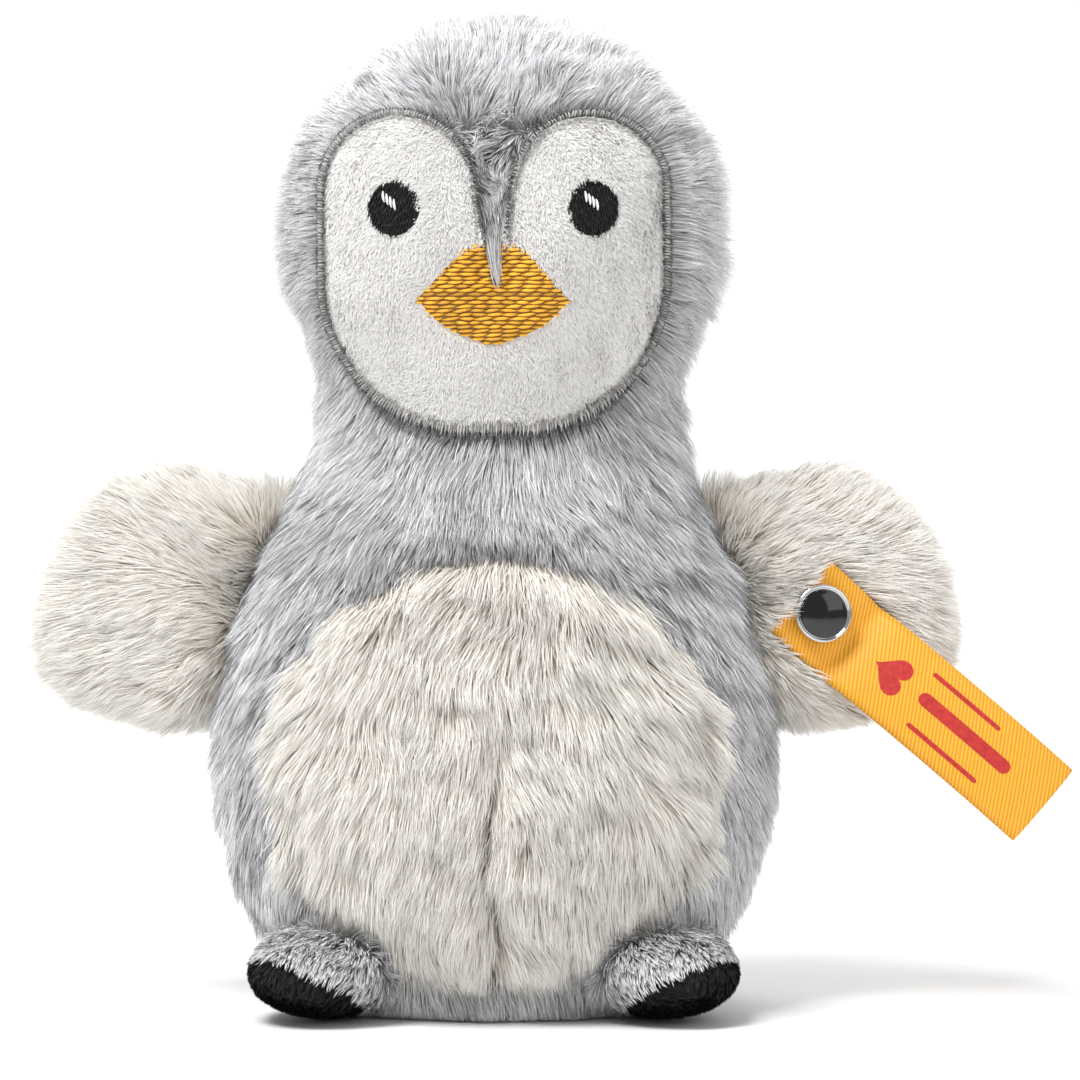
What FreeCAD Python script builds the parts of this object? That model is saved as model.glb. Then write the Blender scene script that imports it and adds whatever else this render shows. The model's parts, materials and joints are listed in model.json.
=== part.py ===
import FreeCAD, Part  # noqa: E401  FreeCAD has to come first

import math
import os

from FreeCAD import Placement, Rotation, Vector

# Plush penguin chick that stands on a flat base. Millimetres, +Z up, the face looks along -Y.
# The origin is the middle of the flat base, and left and right are the toy's own: left is +X.
#
# The outer surface is the pile as a hand feels it; loose hair tips stand about 2 mm further out.
# Head and torso share one round outline of arcs, swung round Z. Its front half is pushed in a
# little along Y and its back half a little more, so that the belly is fuller than the back.
# The two halves meet at Y = 0, where the side seams run and where the wings are sewn in.

# Driving dimensions of the outline
HEAD_RADIUS = 25.5
HEAD_Z = 93.0
BELLY_RADIUS = 32.9
BELLY_Z = 30.0
SHOULDER_ARC = 58.7
LOWER_ARC = 40.0
NECK_ARC = 20.0
FRONT_DEPTH = 0.91
BACK_DEPTH = 0.84

# Fabric: a woven backing with its dense pile counts as one skin
SKIN = 3.0
FAR = 200.0

# Head and torso bend towards each other in a short stretch of neck
NECK_LOW_Z = 61.0
NECK_HIGH_Z = 68.0

# Panels; the base is trimmed flat where it stands
BASE_TRIM = 0.5
BASE_SEAM_Z = 3.5
BELLY_PANEL = (25.5, 25.0)
BELLY_PANEL_Z = 31.0
GUSSET_HALF_WIDTH = 9.0
CHIN_Z = 85.0
CLOSING_STITCHES = 6
CLOSING_LOW_Z = 12.0
CLOSING_PITCH = 3.2
CLOSING_LENGTH = 3.0
CLOSING_THREAD = 0.7
CLOSING_SUNK = 1.0

# Face: a short-pile patch with two lobes over a round chin, edged with close stitches
FACE_HALF_WIDTH = 20.2
LOBE_INNER_X = 2.5
LOBE_Z = 97.3
CHEEK_RADIUS = 16.8
CHEEK_Z = 86.5
NOTCH_Z = 87.0
EDGING_WIDTH = 1.0
THREAD_RISE = 0.5
THREAD_DEPTH = 1.0
EYE_X = 11.5
EYE_Z = 95.0
EYE_RADII = (3.0, 3.3)
GLINT_LENGTHS = (2.0, 1.7, 1.4)
GLINT_WIDTH = 0.36
GLINT_PITCH = 0.5
GLINT_LEAN = 18.0
GLINT_RISE = 0.25
BEAK_HALF_WIDTH = 9.2
BEAK_LOW_Z = 79.2
BEAK_MOUTH_Z = 85.2
BEAK_HIGH_Z = 91.2

# Feet: a grey top and a black sole, sewn to the front of the base
FOOT_RADII = (9.2, 13.0, 5.6)
FOOT_X = 19.5
FOOT_Y = -16.0
FOOT_TOE_OUT = 18.0
FOOT_SKIN = 1.8
SOLE_TILT = 22.0
SOLE_PITCH = 14.0
SOLE_MIDDLE = (19.5, -24.0, 4.2)

# Wings: flat stuffed paddles, hinged on the seam that runs up the side of the torso
WING_HALF_THICKNESS = 6.0
WING_SECTIONS = (-1.0, -0.86, -0.55, 0.0, 0.55, 0.86, 1.0)
WING_EDGE_ROUNDING = 0.9
WING_DRAW_IN = 0.55
WING_REACH = 13.0
WING_SKIN = 2.2
WING_SWEEP = 14.0
SEAM_Z = 55.0
SEAM_LEAN = 21.0
SEAM_GAP = 4.6

# Tag: a folded ribbon under a metal button on the left wing
BUTTON_X = 37.2
BUTTON_Z = 46.5
BUTTON_RADIUS = 3.5
BUTTON_EDGE = 0.7
BUTTON_DOME = 0.6
RIVET_RADIUS = 1.05
RIVET_PLAY = 0.05
RIVET_HEAD_RADIUS = 1.8
WASHER_RADIUS = 2.6
WASHER_THICKNESS = 0.6
WASHER_SUNK = 1.0
RIVET_STUB = 0.3
RIBBON_WIDTH = 10.8
RIBBON_LEAF = 0.35
RIBBON_SLIT = 0.2
RIBBON_DROP = 42.0
RIBBON_BEHIND = 3.2
RIBBON_FLAT = 6.5
RIBBON_REACH = 35.5
RIBBON_LIFT = 13.0
AIR = 0.3


# ---------------------------------------------------------------- helpers
def box(x, y, z):
    """A box from (low, high) pairs; None leaves that axis open."""
    low, high = zip(*[(-FAR, FAR) if pair is None else pair for pair in (x, y, z)])
    return Part.makeBox(*[b - a for a, b in zip(low, high)], Vector(*low))


def scaled(shape, x=1.0, y=1.0, z=1.0):
    """A shape stretched along the axes."""
    matrix = FreeCAD.Matrix()
    matrix.scale(x, y, z)
    return shape.transformGeometry(matrix)


def placed(shape, rotation, position):
    """A copy of a shape, turned and then moved."""
    made = shape.copy()
    made.Placement = Placement(position, rotation).multiply(made.Placement)
    return made


def spun(shape, middle, axis, angle):
    """A copy of a shape, turned about an axis through a point."""
    made = shape.copy()
    made.rotate(middle, axis, angle)
    return made


def mirrored(shape):
    """The other side's copy of a shape."""
    return shape.mirror(Vector(0, 0, 0), Vector(1, 0, 0))


def prism(wire, y_low=-FAR, y_high=FAR):
    """A closed wire that lies at Y = 0, pushed out along Y."""
    face = Part.Face(wire)
    face.translate(Vector(0, y_low, 0))
    return face.extrude(Vector(0, y_high - y_low, 0))


# ---------------------------------------------------------------- outline of head and torso
def beside(first, r1, second, r2):
    """The point r1 from the first point and r2 from the second, left of the way between them."""
    gap = second - first
    along = (gap.Length**2 + r1**2 - r2**2) / (2 * gap.Length)
    across = math.sqrt(r1**2 - along**2)
    unit = gap / gap.Length
    return first + unit * along + Vector(-unit.z, 0, unit.x) * across


def towards(start, end, distance):
    """The point at a distance from start, on the way to end."""
    return start + (end - start) * (distance / (end - start).Length)


def arc(middle, radius, start, end):
    """The short arc about a middle, between the directions of two points."""
    half_way = (towards(middle, start, 1) + towards(middle, end, 1)) / 2
    points = [towards(middle, p, radius) for p in (start, half_way, end)]
    return Part.Arc(*points).toShape()


def outline(inset):
    """The closed right half of the outline, moved in by inset."""
    head = Vector(0, 0, HEAD_Z)
    shoulder = Vector(BELLY_RADIUS - SHOULDER_ARC, 0, BELLY_Z)
    lower = Vector(BELLY_RADIUS - LOWER_ARC, 0, BELLY_Z)
    neck = beside(head, HEAD_RADIUS + NECK_ARC, shoulder, SHOULDER_ARC + NECK_ARC)
    top = Vector(0, 0, HEAD_Z + HEAD_RADIUS - inset)
    widest = Vector(BELLY_RADIUS - inset, 0, BELLY_Z)
    bottom = inset - BASE_TRIM
    reach = math.sqrt((LOWER_ARC - inset) ** 2 - (BELLY_Z - bottom) ** 2)
    foot = Vector(lower.x + reach, 0, bottom)
    arcs = [
        arc(lower, LOWER_ARC - inset, foot, widest),
        arc(shoulder, SHOULDER_ARC - inset, widest, neck),
        arc(neck, NECK_ARC + inset, shoulder, head),
        arc(head, HEAD_RADIUS - inset, neck, top),
    ]
    corner = Vector(0, 0, bottom)
    closing = [Part.makeLine(top, corner), Part.makeLine(corner, foot)]
    return Part.Wire(Part.__sortEdges__(arcs + closing))


def half(inset, front):
    """The front or back half of the stuffed figure, moved in by inset."""
    face = Part.Face(outline(inset))
    turned = face.revolve(Vector(0, 0, 0), Vector(0, 0, 1), -180 if front else 180)
    return scaled(turned, y=FRONT_DEPTH if front else BACK_DEPTH)


def layer(outer, inner, front):
    """What lies between two insets, in one half."""
    return half(outer, front).cut(half(inner, front))


# ---------------------------------------------------------------- torso
def torso_parts():
    """Panels and stuffing below the neck."""
    above_base = box(None, None, (BASE_SEAM_Z, NECK_LOW_Z))
    front = layer(0, SKIN, True)
    back = layer(0, SKIN, False)
    ellipse = Part.Ellipse(Vector(0, 0, 0), *BELLY_PANEL).toShape()
    ellipse = placed(ellipse, Rotation(Vector(1, 0, 0), 90), Vector(0, 0, BELLY_PANEL_Z))
    belly_cutter = prism(Part.Wire([ellipse]), y_high=0.0)
    belly = front.common(above_base).common(belly_cutter)
    stitches = closing_stitches()
    back_panel = back.common(above_base).cut(stitches)
    below_seam = box(None, None, (0, BASE_SEAM_Z))
    base = front.common(below_seam).fuse(back.common(below_seam)).removeSplitter()
    filling = half(SKIN, True).fuse(half(SKIN, False))
    filling = filling.common(box(None, None, (-FAR, NECK_LOW_Z))).removeSplitter()
    left = box((0, FAR), None, None)
    right = box((-FAR, 0), None, None)
    return {
        "chest_skin": front.common(above_base).cut(belly_cutter),
        "belly_left": belly.common(left),
        "belly_right": belly.common(right),
        "back_left": back_panel.common(left),
        "back_right": back_panel.common(right),
        "base_panel": base,
        "torso_filling": filling,
        "closing_stitches": stitches,
    }


def closing_stitches():
    """The hand stitches that close the back seam after stuffing, sunk flush in the pile."""
    bars = []
    for i in range(CLOSING_STITCHES):
        z = CLOSING_LOW_Z + i * CLOSING_PITCH
        drop = BELLY_Z - z
        reach = BELLY_RADIUS - LOWER_ARC + math.sqrt(LOWER_ARC**2 - drop**2)
        bar = Part.makeBox(CLOSING_LENGTH, CLOSING_THREAD, CLOSING_THREAD)
        bar.translate(Vector(-CLOSING_LENGTH / 2, reach * BACK_DEPTH - CLOSING_SUNK, z))
        bars.append(bar)
    return Part.makeCompound(bars)


def neck_parts():
    """The stretch of skin and stuffing that bends when the head nods."""
    band = box(None, None, (NECK_LOW_Z, NECK_HIGH_Z))
    skin = layer(0, SKIN, True).common(band).fuse(layer(0, SKIN, False).common(band))
    filling = half(SKIN, True).fuse(half(SKIN, False)).common(band)
    return {
        "neck_skin": skin.removeSplitter(),
        "neck_filling": filling.removeSplitter(),
    }


# ---------------------------------------------------------------- head
def face_outline(grow=0.0):
    """The patch's closed outline at Y = 0, moved out by grow: two lobes over one round chin."""
    lobe = Vector((LOBE_INNER_X + FACE_HALF_WIDTH) / 2, 0, LOBE_Z)
    radius = (FACE_HALF_WIDTH - LOBE_INNER_X) / 2
    cheek = Vector(FACE_HALF_WIDTH - CHEEK_RADIUS, 0, CHEEK_Z)
    notch = Vector(0, 0, NOTCH_Z)
    touch = beside(notch, math.sqrt((lobe - notch).Length ** 2 - radius**2), lobe, radius)
    run = touch - notch
    out = Vector(-run.z, 0, run.x) / run.Length * grow
    notch_out = Vector(0, 0, NOTCH_Z - out.x * run.z / run.x + out.z)
    lobe_side, cheek_side = lobe + Vector(radius + grow, 0, 0), cheek + Vector(CHEEK_RADIUS + grow, 0, 0)
    chin = cheek - Vector(0, 0, CHEEK_RADIUS + grow)
    right = [
        Part.makeLine(notch_out, touch + out),
        Part.Arc(touch + out, lobe + Vector(0, 0, radius + grow), lobe_side).toShape(),
        Part.makeLine(lobe_side, cheek_side),
        arc(cheek, CHEEK_RADIUS + grow, cheek_side, chin),
    ]
    across = Part.makeLine(chin, Vector(-chin.x, 0, chin.z))
    return Part.Wire(Part.__sortEdges__(right + [across] + [mirrored(edge) for edge in right]))


def beak_outline():
    """A wide diamond with softly bowed sides."""
    left, right = [Vector(s * BEAK_HALF_WIDTH, 0, BEAK_MOUTH_Z) for s in (-1, 1)]
    high, low = Vector(0, 0, BEAK_HIGH_Z), Vector(0, 0, BEAK_LOW_Z)
    low_bow = Vector(5.6, 0, BEAK_LOW_Z + 1.6)
    high_bow = Vector(4.6, 0, BEAK_HIGH_Z - 2.0)
    edges = [
        Part.Arc(right, high_bow, high).toShape(),
        Part.Arc(high, Vector(-high_bow.x, 0, high_bow.z), left).toShape(),
        Part.Arc(left, Vector(-low_bow.x, 0, low_bow.z), low).toShape(),
        Part.Arc(low, low_bow, right).toShape(),
    ]
    return Part.Wire(edges)


def eye_cutter(side):
    """An oval bar along Y that is as wide as an eye."""
    bar = Part.makeCylinder(1.0, FAR, Vector(0, -FAR, 0), Vector(0, 1, 0))
    bar = scaled(bar, x=EYE_RADII[0], z=EYE_RADII[1])
    return placed(bar, Rotation(), Vector(side * EYE_X, 0, EYE_Z))


def glint_cutter(side):
    """Slanting bars along Y, one for each bright stitch in an eye."""
    bars = []
    for i, length in enumerate(GLINT_LENGTHS):
        low_corner = Vector((i - 2) * GLINT_PITCH, -FAR, -i * GLINT_PITCH / 2)
        bars.append(Part.makeBox(GLINT_WIDTH, FAR, length, low_corner))
    leaning = Rotation(Vector(0, 1, 0), -GLINT_LEAN)
    return placed(Part.makeCompound(bars), leaning, Vector(side * EYE_X, 0, EYE_Z))


def head_parts():
    """Panels, face and stuffing above the neck."""
    above_neck = box(None, None, (NECK_HIGH_Z, FAR))
    front = layer(0, SKIN, True).common(above_neck)
    back = layer(0, SKIN, False).common(above_neck)
    face_cutter = prism(face_outline(), y_high=0.0)
    edged_cutter = prism(face_outline(EDGING_WIDTH), y_high=0.0)
    edging = layer(-THREAD_RISE, SKIN, True).common(edged_cutter).cut(face_cutter)

    thread_layer = layer(-THREAD_RISE, THREAD_DEPTH, True)
    glint_layer = layer(-THREAD_RISE - GLINT_RISE, 0, True)
    beak = thread_layer.common(prism(beak_outline(), y_high=0.0)).common(face_cutter)
    face = front.common(face_cutter).cut(beak)
    parts = {
        "beak_upper": beak.common(box(None, None, (BEAK_MOUTH_Z, FAR))),
        "beak_lower": beak.common(box(None, None, (-FAR, BEAK_MOUTH_Z))),
    }
    for name, side in (("left", 1), ("right", -1)):
        glint = glint_layer.common(glint_cutter(side))
        eye = thread_layer.common(eye_cutter(side)).cut(glint)
        face = face.cut(eye).cut(glint)
        parts["eye_" + name] = eye
        parts["eye_glint_" + name] = glint
    around_face = front.cut(edged_cutter)
    strip = box((-GUSSET_HALF_WIDTH, GUSSET_HALF_WIDTH), None, None)
    crown = strip.common(box(None, None, (CHIN_Z, FAR)))
    sides = around_face.cut(crown).fuse(back.cut(strip)).removeSplitter()
    gusset = around_face.common(crown).fuse(back.common(strip)).removeSplitter()
    filling = half(SKIN, True).fuse(half(SKIN, False)).common(above_neck)
    parts.update({
        "face_patch": face,
        "face_edging": edging,
        "head_gusset": gusset,
        "head_left": sides.common(box((0, FAR), None, None)),
        "head_right": sides.common(box((-FAR, 0), None, None)),
        "head_filling": filling.removeSplitter(),
    })
    return parts


# ---------------------------------------------------------------- feet
def foot_body(inset):
    """The left foot's egg, moved in by inset."""
    egg = scaled(Part.makeSphere(10.0), *[(r - inset) / 10.0 for r in FOOT_RADII])
    toe_out = Rotation(Vector(0, 0, 1), FOOT_TOE_OUT)
    return placed(egg, toe_out, Vector(FOOT_X, FOOT_Y, FOOT_RADII[2] + 0.1))


def foot_parts():
    """Both feet: top, sole and stuffing, trimmed where they meet the torso."""
    figure = half(0, True).fuse(half(0, False))
    skin = foot_body(0).cut(foot_body(FOOT_SKIN)).cut(figure)
    under = box(None, None, (-FAR, 0))
    tilt = Rotation(Vector(0, 1, 0), -SOLE_TILT).multiply(Rotation(Vector(1, 0, 0), -SOLE_PITCH))
    under = placed(under, tilt, Vector(*SOLE_MIDDLE))
    left = {
        "foot_top": skin.cut(under),
        "foot_sole": skin.common(under),
        "foot_filling": foot_body(FOOT_SKIN).cut(figure),
    }
    parts = {name + "_left": shape for name, shape in left.items()}
    parts.update({name + "_right": mirrored(shape) for name, shape in left.items()})
    return parts


# ---------------------------------------------------------------- wings
def seam_axis():
    """A point on the left wing's hinge line and the line's upward direction."""
    rise = SEAM_Z - BELLY_Z
    side = BELLY_RADIUS - SHOULDER_ARC + math.sqrt(SHOULDER_ARC**2 - rise**2)
    lean = math.radians(SEAM_LEAN)
    outward = Vector(math.cos(lean), 0, math.sin(lean))
    return Vector(side, 0, SEAM_Z) + outward * SEAM_GAP, Vector(-math.sin(lean), 0, math.cos(lean))


def wing_outline(shrink):
    """The left wing's closed outline at Y = 0, drawn in towards its middle by a share."""
    points = [
        (27.6, 61.6), (36.0, 62.8), (44.0, 60.9), (49.0, 56.0), (52.3, 47.5),
        (51.0, 39.6), (45.0, 35.6), (38.0, 36.0), (33.2, 41.0), (31.6, 49.0), (28.3, 57.0),
    ]
    middle = Vector(41.0, 0, 49.5)
    curve = Part.BSplineCurve()
    drawn_in = [middle + (Vector(x, 0, z) - middle) * (1 - shrink) for x, z in points]
    curve.interpolate(Points=drawn_in, PeriodicFlag=True)
    return Part.Wire([curve.toShape()])


def wing_body(inset):
    """The left wing as a crowned pad in the plane Y = 0, moved in by inset."""
    half_thickness = WING_HALF_THICKNESS - inset
    sections = []
    for share in WING_SECTIONS:
        rounding = 1 - math.sqrt(1 - (WING_EDGE_ROUNDING * share) ** 2)
        wire = wing_outline(WING_DRAW_IN * rounding + inset / WING_REACH)
        wire.translate(Vector(0, share * half_thickness, 0))
        sections.append(wire)
    return Part.makeLoft(sections, True)


def wing_parts():
    """Both wings, and the left one's button and ribbon."""
    point, direction = seam_axis()
    outer = wing_body(0)
    inner = wing_body(WING_SKIN)
    skin = outer.cut(inner)
    pad = {
        "wing_front": skin.common(box(None, (-FAR, 0), None)),
        "wing_back": skin.common(box(None, (0, FAR), None)),
        "wing_filling": inner,
    }
    middle = Vector(BUTTON_X, -FAR, BUTTON_Z)
    hole_end = FAR - WING_HALF_THICKNESS + WING_SKIN + WASHER_THICKNESS + RIVET_STUB
    hole = Part.makeCylinder(RIVET_RADIUS, hole_end, middle, Vector(0, 1, 0))
    washer_room = Vector(BUTTON_X, WING_SKIN - WING_HALF_THICKNESS - WASHER_SUNK, BUTTON_Z)
    pocket_depth = WASHER_SUNK + WASHER_THICKNESS + RIVET_STUB
    pocket = Part.makeCylinder(WASHER_RADIUS + AIR, pocket_depth, washer_room, Vector(0, 1, 0))
    left = {
        "wing_front_left": pad["wing_front"].cut(hole).cut(pocket),
        "wing_back_left": pad["wing_back"],
        "wing_filling_left": pad["wing_filling"].cut(hole).cut(pocket),
    }
    left.update(tag_parts())
    parts = {name: spun(shape, point, direction, WING_SWEEP) for name, shape in left.items()}
    for name, shape in pad.items():
        parts[name + "_right"] = mirrored(spun(shape, point, direction, WING_SWEEP))
    return parts


# ---------------------------------------------------------------- button and ribbon
def band(points, low, high, end):
    """A bent band in the plane of X and Y: the path moved sideways by low and by high."""
    a, b, c = points
    first, second = (b - a).normalize(), (c - b).normalize()
    far = c + second * end
    mitre = (Vector(-first.y, first.x, 0) + Vector(-second.y, second.x, 0)).normalize()
    stretch = 1 / mitre.dot(Vector(-first.y, first.x, 0))

    def side(offset):
        return [
            a + Vector(-first.y, first.x, 0) * offset,
            b + mitre * offset * stretch,
            far + Vector(-second.y, second.x, 0) * offset,
        ]

    corners = side(low) + side(high)[::-1]
    return Part.Face(Part.makePolygon(corners + corners[:1]))


def ribbon():
    """The folded ribbon: along X from the button, leaves stacked along Y, width along Z."""
    lift = math.radians(RIBBON_LIFT)
    run = RIBBON_REACH - RIBBON_FLAT
    path = [
        Vector(-RIBBON_BEHIND, 0, 0),
        Vector(RIBBON_FLAT, 0, 0),
        Vector(RIBBON_FLAT + run, run * math.tan(lift), 0),
    ]
    thickness = 2 * RIBBON_LEAF + RIBBON_SLIT
    whole = band(path, 0, thickness, 0)
    slit = band(path, RIBBON_LEAF, RIBBON_LEAF + RIBBON_SLIT, -RIBBON_LEAF)
    leaves = whole.cut(slit).extrude(Vector(0, 0, RIBBON_WIDTH))
    leaves.translate(Vector(0, 0, -RIBBON_WIDTH / 2))
    eyelet = Part.makeCylinder(
        RIVET_RADIUS + RIVET_PLAY, FAR, Vector(0, -FAR / 2, 0), Vector(0, 1, 0)
    )
    return leaves.cut(eyelet)


def tag_parts():
    """Ribbon, button cap, rivet and washer on the left wing, before the wing is swept back."""
    face_y = -WING_HALF_THICKNESS
    ribbon_y = face_y - AIR
    cap_y = ribbon_y - 2 * RIBBON_LEAF - RIBBON_SLIT - AIR
    washer_y = face_y + WING_SKIN
    stub_y = washer_y + WASHER_THICKNESS + RIVET_STUB
    outward = Vector(0, -1, 0)

    def disc(radius, thickness, y):
        return Part.makeCylinder(radius, thickness, Vector(BUTTON_X, y, BUTTON_Z), outward)

    dome_radius = (BUTTON_RADIUS**2 + BUTTON_DOME**2) / (2 * BUTTON_DOME)
    dome_middle = Vector(BUTTON_X, cap_y - BUTTON_EDGE - BUTTON_DOME + dome_radius, BUTTON_Z)
    dome = Part.makeSphere(dome_radius, dome_middle).common(
        disc(BUTTON_RADIUS, BUTTON_DOME, cap_y - BUTTON_EDGE)
    )
    rivet_head = disc(RIVET_HEAD_RADIUS, BUTTON_EDGE / 2, cap_y)
    rivet = disc(RIVET_RADIUS, stub_y - cap_y, stub_y).fuse(rivet_head).removeSplitter()
    cap = disc(BUTTON_RADIUS, BUTTON_EDGE, cap_y).fuse(dome).cut(rivet).removeSplitter()
    washer = disc(WASHER_RADIUS, WASHER_THICKNESS, washer_y + WASHER_THICKNESS)
    # The ribbon's own X runs down and out along the wing, and its Y away from the wing.
    drop = math.radians(RIBBON_DROP)
    along = Vector(math.cos(drop), 0, -math.sin(drop))
    turned = Rotation(along, outward, along.cross(outward), "XYZ")
    return {
        "tag_ribbon": placed(ribbon(), turned, Vector(BUTTON_X, ribbon_y, BUTTON_Z)),
        "button_cap": cap,
        "button_rivet": rivet,
        "button_washer": washer.cut(rivet),
    }


# ---------------------------------------------------------------- output
def main():
    parts = {}
    for group in (torso_parts(), neck_parts(), head_parts(), foot_parts(), wing_parts()):
        parts.update(group)
    os.makedirs("parts", exist_ok=True)
    for name, shape in sorted(parts.items()):
        solids = shape.Solids
        sound = all(s.isValid() and s.isClosed() and s.Volume > 0 for s in solids)
        print(f"{name:18} {len(solids)} solid(s) {sum(s.Volume for s in solids):10.1f} mm3",
              "" if solids and sound else "NOT SOUND")
        whole = solids[0] if len(solids) == 1 else Part.makeCompound(solids)
        whole.exportStep(os.path.join("parts", name + ".step"))


main()
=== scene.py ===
"""Looks of the plush penguin chick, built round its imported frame. Metres, +Z up, the face looks along -Y."""

import json
import math

import bpy
import numpy as np
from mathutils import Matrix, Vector
from mathutils.bvhtree import BVHTree
from mathutils.kdtree import KDTree


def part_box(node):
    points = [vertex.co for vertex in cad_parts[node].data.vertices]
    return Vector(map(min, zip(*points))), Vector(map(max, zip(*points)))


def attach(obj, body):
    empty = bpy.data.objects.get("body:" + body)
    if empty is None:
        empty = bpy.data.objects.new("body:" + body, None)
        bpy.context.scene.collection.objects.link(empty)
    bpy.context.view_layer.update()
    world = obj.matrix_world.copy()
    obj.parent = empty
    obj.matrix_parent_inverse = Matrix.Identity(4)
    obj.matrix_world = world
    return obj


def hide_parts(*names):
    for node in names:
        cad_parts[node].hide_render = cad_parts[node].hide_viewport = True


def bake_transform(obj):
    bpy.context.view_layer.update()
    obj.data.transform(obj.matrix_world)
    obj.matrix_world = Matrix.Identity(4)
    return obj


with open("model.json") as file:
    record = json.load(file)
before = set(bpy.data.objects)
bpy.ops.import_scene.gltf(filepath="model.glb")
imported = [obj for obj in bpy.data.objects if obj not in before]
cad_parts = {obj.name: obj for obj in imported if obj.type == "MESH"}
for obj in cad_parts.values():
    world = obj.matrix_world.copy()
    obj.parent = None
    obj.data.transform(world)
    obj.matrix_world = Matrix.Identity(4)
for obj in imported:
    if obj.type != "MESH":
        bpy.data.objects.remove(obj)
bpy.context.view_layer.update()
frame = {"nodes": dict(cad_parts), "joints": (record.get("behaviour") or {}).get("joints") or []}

MM = 0.001
rng = np.random.default_rng(20)
joints = {joint["name"]: joint for joint in frame["joints"]}


def mm(*values):
    """Millimetres as an array in metres."""
    return np.array(values, float) * MM


# ---- measures read from the frame
GUSSET_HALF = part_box("head_gusset")[1].x
BELLY_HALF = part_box("belly_left")[1].x
BELLY_LOW, BELLY_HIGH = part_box("belly_left")[0].z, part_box("belly_left")[1].z
NECK_LOW, NECK_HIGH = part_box("neck_skin")[0].z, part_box("neck_skin")[1].z
BASE_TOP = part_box("base_panel")[1].z
HEAD_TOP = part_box("head_gusset")[1].z
HEAD_MIDDLE = np.array([0, 0, HEAD_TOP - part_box("head_left")[1].x])
FACE_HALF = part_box("face_patch")[1].x
FACE_LOW, FACE_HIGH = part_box("face_patch")[0].z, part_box("face_patch")[1].z
DOWN = np.array([0.0, 0.0, -1.0])
FORWARD, BACKWARD = np.array([0.0, -1.0, 0.0]), Vector((0, 1, 0))
RAY_START = -0.1  # In front of everything


# ---- arrays
def unit(vectors):
    """Vectors at length 1."""
    return vectors / np.maximum(np.linalg.norm(vectors, axis=-1, keepdims=True), 1e-12)


def smooth_step(low, high, values):
    """0 below low, 1 above high, smooth between."""
    share = np.clip((values - low) / (high - low), 0, 1)
    return share * share * (3 - 2 * share)


def wobble(points, wavelength, seed, waves=5):
    """Smooth noise from -1 to 1 that varies over about one wavelength."""
    own = np.random.default_rng(seed)
    total = np.zeros(len(points))
    for _ in range(waves):
        way = unit(own.normal(size=3)) * (2 * math.pi / wavelength) * own.uniform(0.6, 1.5)
        total += np.sin(points @ way + own.uniform(0, 2 * math.pi))
    return total / waves * 1.5


def turned(vectors, axes, angles):
    """Vectors turned about unit axes that stand square to them."""
    return vectors * np.cos(angles)[:, None] + np.cross(axes, vectors) * np.sin(angles)[:, None]


def tangential(vectors, normals):
    """The unit part of each vector that lies along the surface."""
    return unit(vectors - normals * np.sum(vectors * normals, axis=1, keepdims=True))


# ---- meshes
def add_mesh(name, vertices, polygons, materials, indices=None, smooth=True):
    """A mesh object from a vertex array and a list of polygon arrays, one array per corner count."""
    mesh = bpy.data.meshes.new(name)
    mesh.vertices.add(len(vertices))
    mesh.vertices.foreach_set("co", np.asarray(vertices, np.float32).ravel())
    corners = np.concatenate([p.ravel() for p in polygons])
    totals = np.concatenate([np.full(len(p), p.shape[1]) for p in polygons])
    mesh.loops.add(len(corners))
    mesh.loops.foreach_set("vertex_index", corners.astype(np.int32))
    mesh.polygons.add(len(totals))
    starts = np.concatenate([[0], np.cumsum(totals)[:-1]])
    mesh.polygons.foreach_set("loop_start", starts.astype(np.int32))
    mesh.update(calc_edges=True)
    for material in materials:
        mesh.materials.append(material)
    if indices is not None:
        mesh.polygons.foreach_set("material_index", np.asarray(indices, np.int32))
    mesh.polygons.foreach_set("use_smooth", np.full(len(totals), smooth))
    mesh.update()
    piece = bpy.data.objects.new(name, mesh)
    bpy.context.scene.collection.objects.link(piece)
    return piece


def ring_quads(rings, count, start=0):
    """Faces between rings of points that follow one another, each ring closed on itself."""
    ring = np.arange(count)
    nxt = (ring + 1) % count
    low = start + np.arange(rings - 1)[:, None] * count
    return np.stack([low + ring, low + nxt, low + count + nxt, low + count + ring], axis=2).reshape(-1, 4)


def shrunk(loop, middle, shares):
    """Copies of an outline drawn in towards a middle, one for each share."""
    return np.concatenate([middle + (loop - middle) * share for share in shares])


def disc(name, places, count, material, outward):
    """A low dome from rings of count points, the innermost first, with its normals facing outward."""
    rings, ring = len(places) // count, np.arange(count)
    places = np.concatenate([places, [places[:count].mean(0)]])
    hub = np.stack([np.full(count, len(places) - 1), (ring + 1) % count, ring], axis=1)
    piece = add_mesh(name, places, [ring_quads(rings, count), hub], [material])
    if np.sum(coordinates(piece, True) @ outward) < 0:
        piece.data.flip_normals()
    return piece


def coordinates(piece, normals=False):
    """Vertex places of a mesh, or its vertex normals."""
    values = np.empty(len(piece.data.vertices) * 3, np.float32)
    if normals:
        piece.data.vertex_normals.foreach_get("vector", values)
    else:
        piece.data.vertices.foreach_get("co", values)
    return values.reshape(-1, 3).astype(float)


def set_coordinates(piece, places):
    """Writes vertex places."""
    piece.data.vertices.foreach_set("co", np.asarray(places, np.float32).ravel())
    piece.data.update()


def face_centres(piece):
    """Middles of a mesh's faces."""
    return np.array([polygon.center[:] for polygon in piece.data.polygons])


def triangles(piece):
    """Corner indices of a mesh cut into triangles."""
    piece.data.calc_loop_triangles()
    corners = np.empty(len(piece.data.loop_triangles) * 3, np.int32)
    piece.data.loop_triangles.foreach_get("vertices", corners)
    return corners.reshape(-1, 3)


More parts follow.
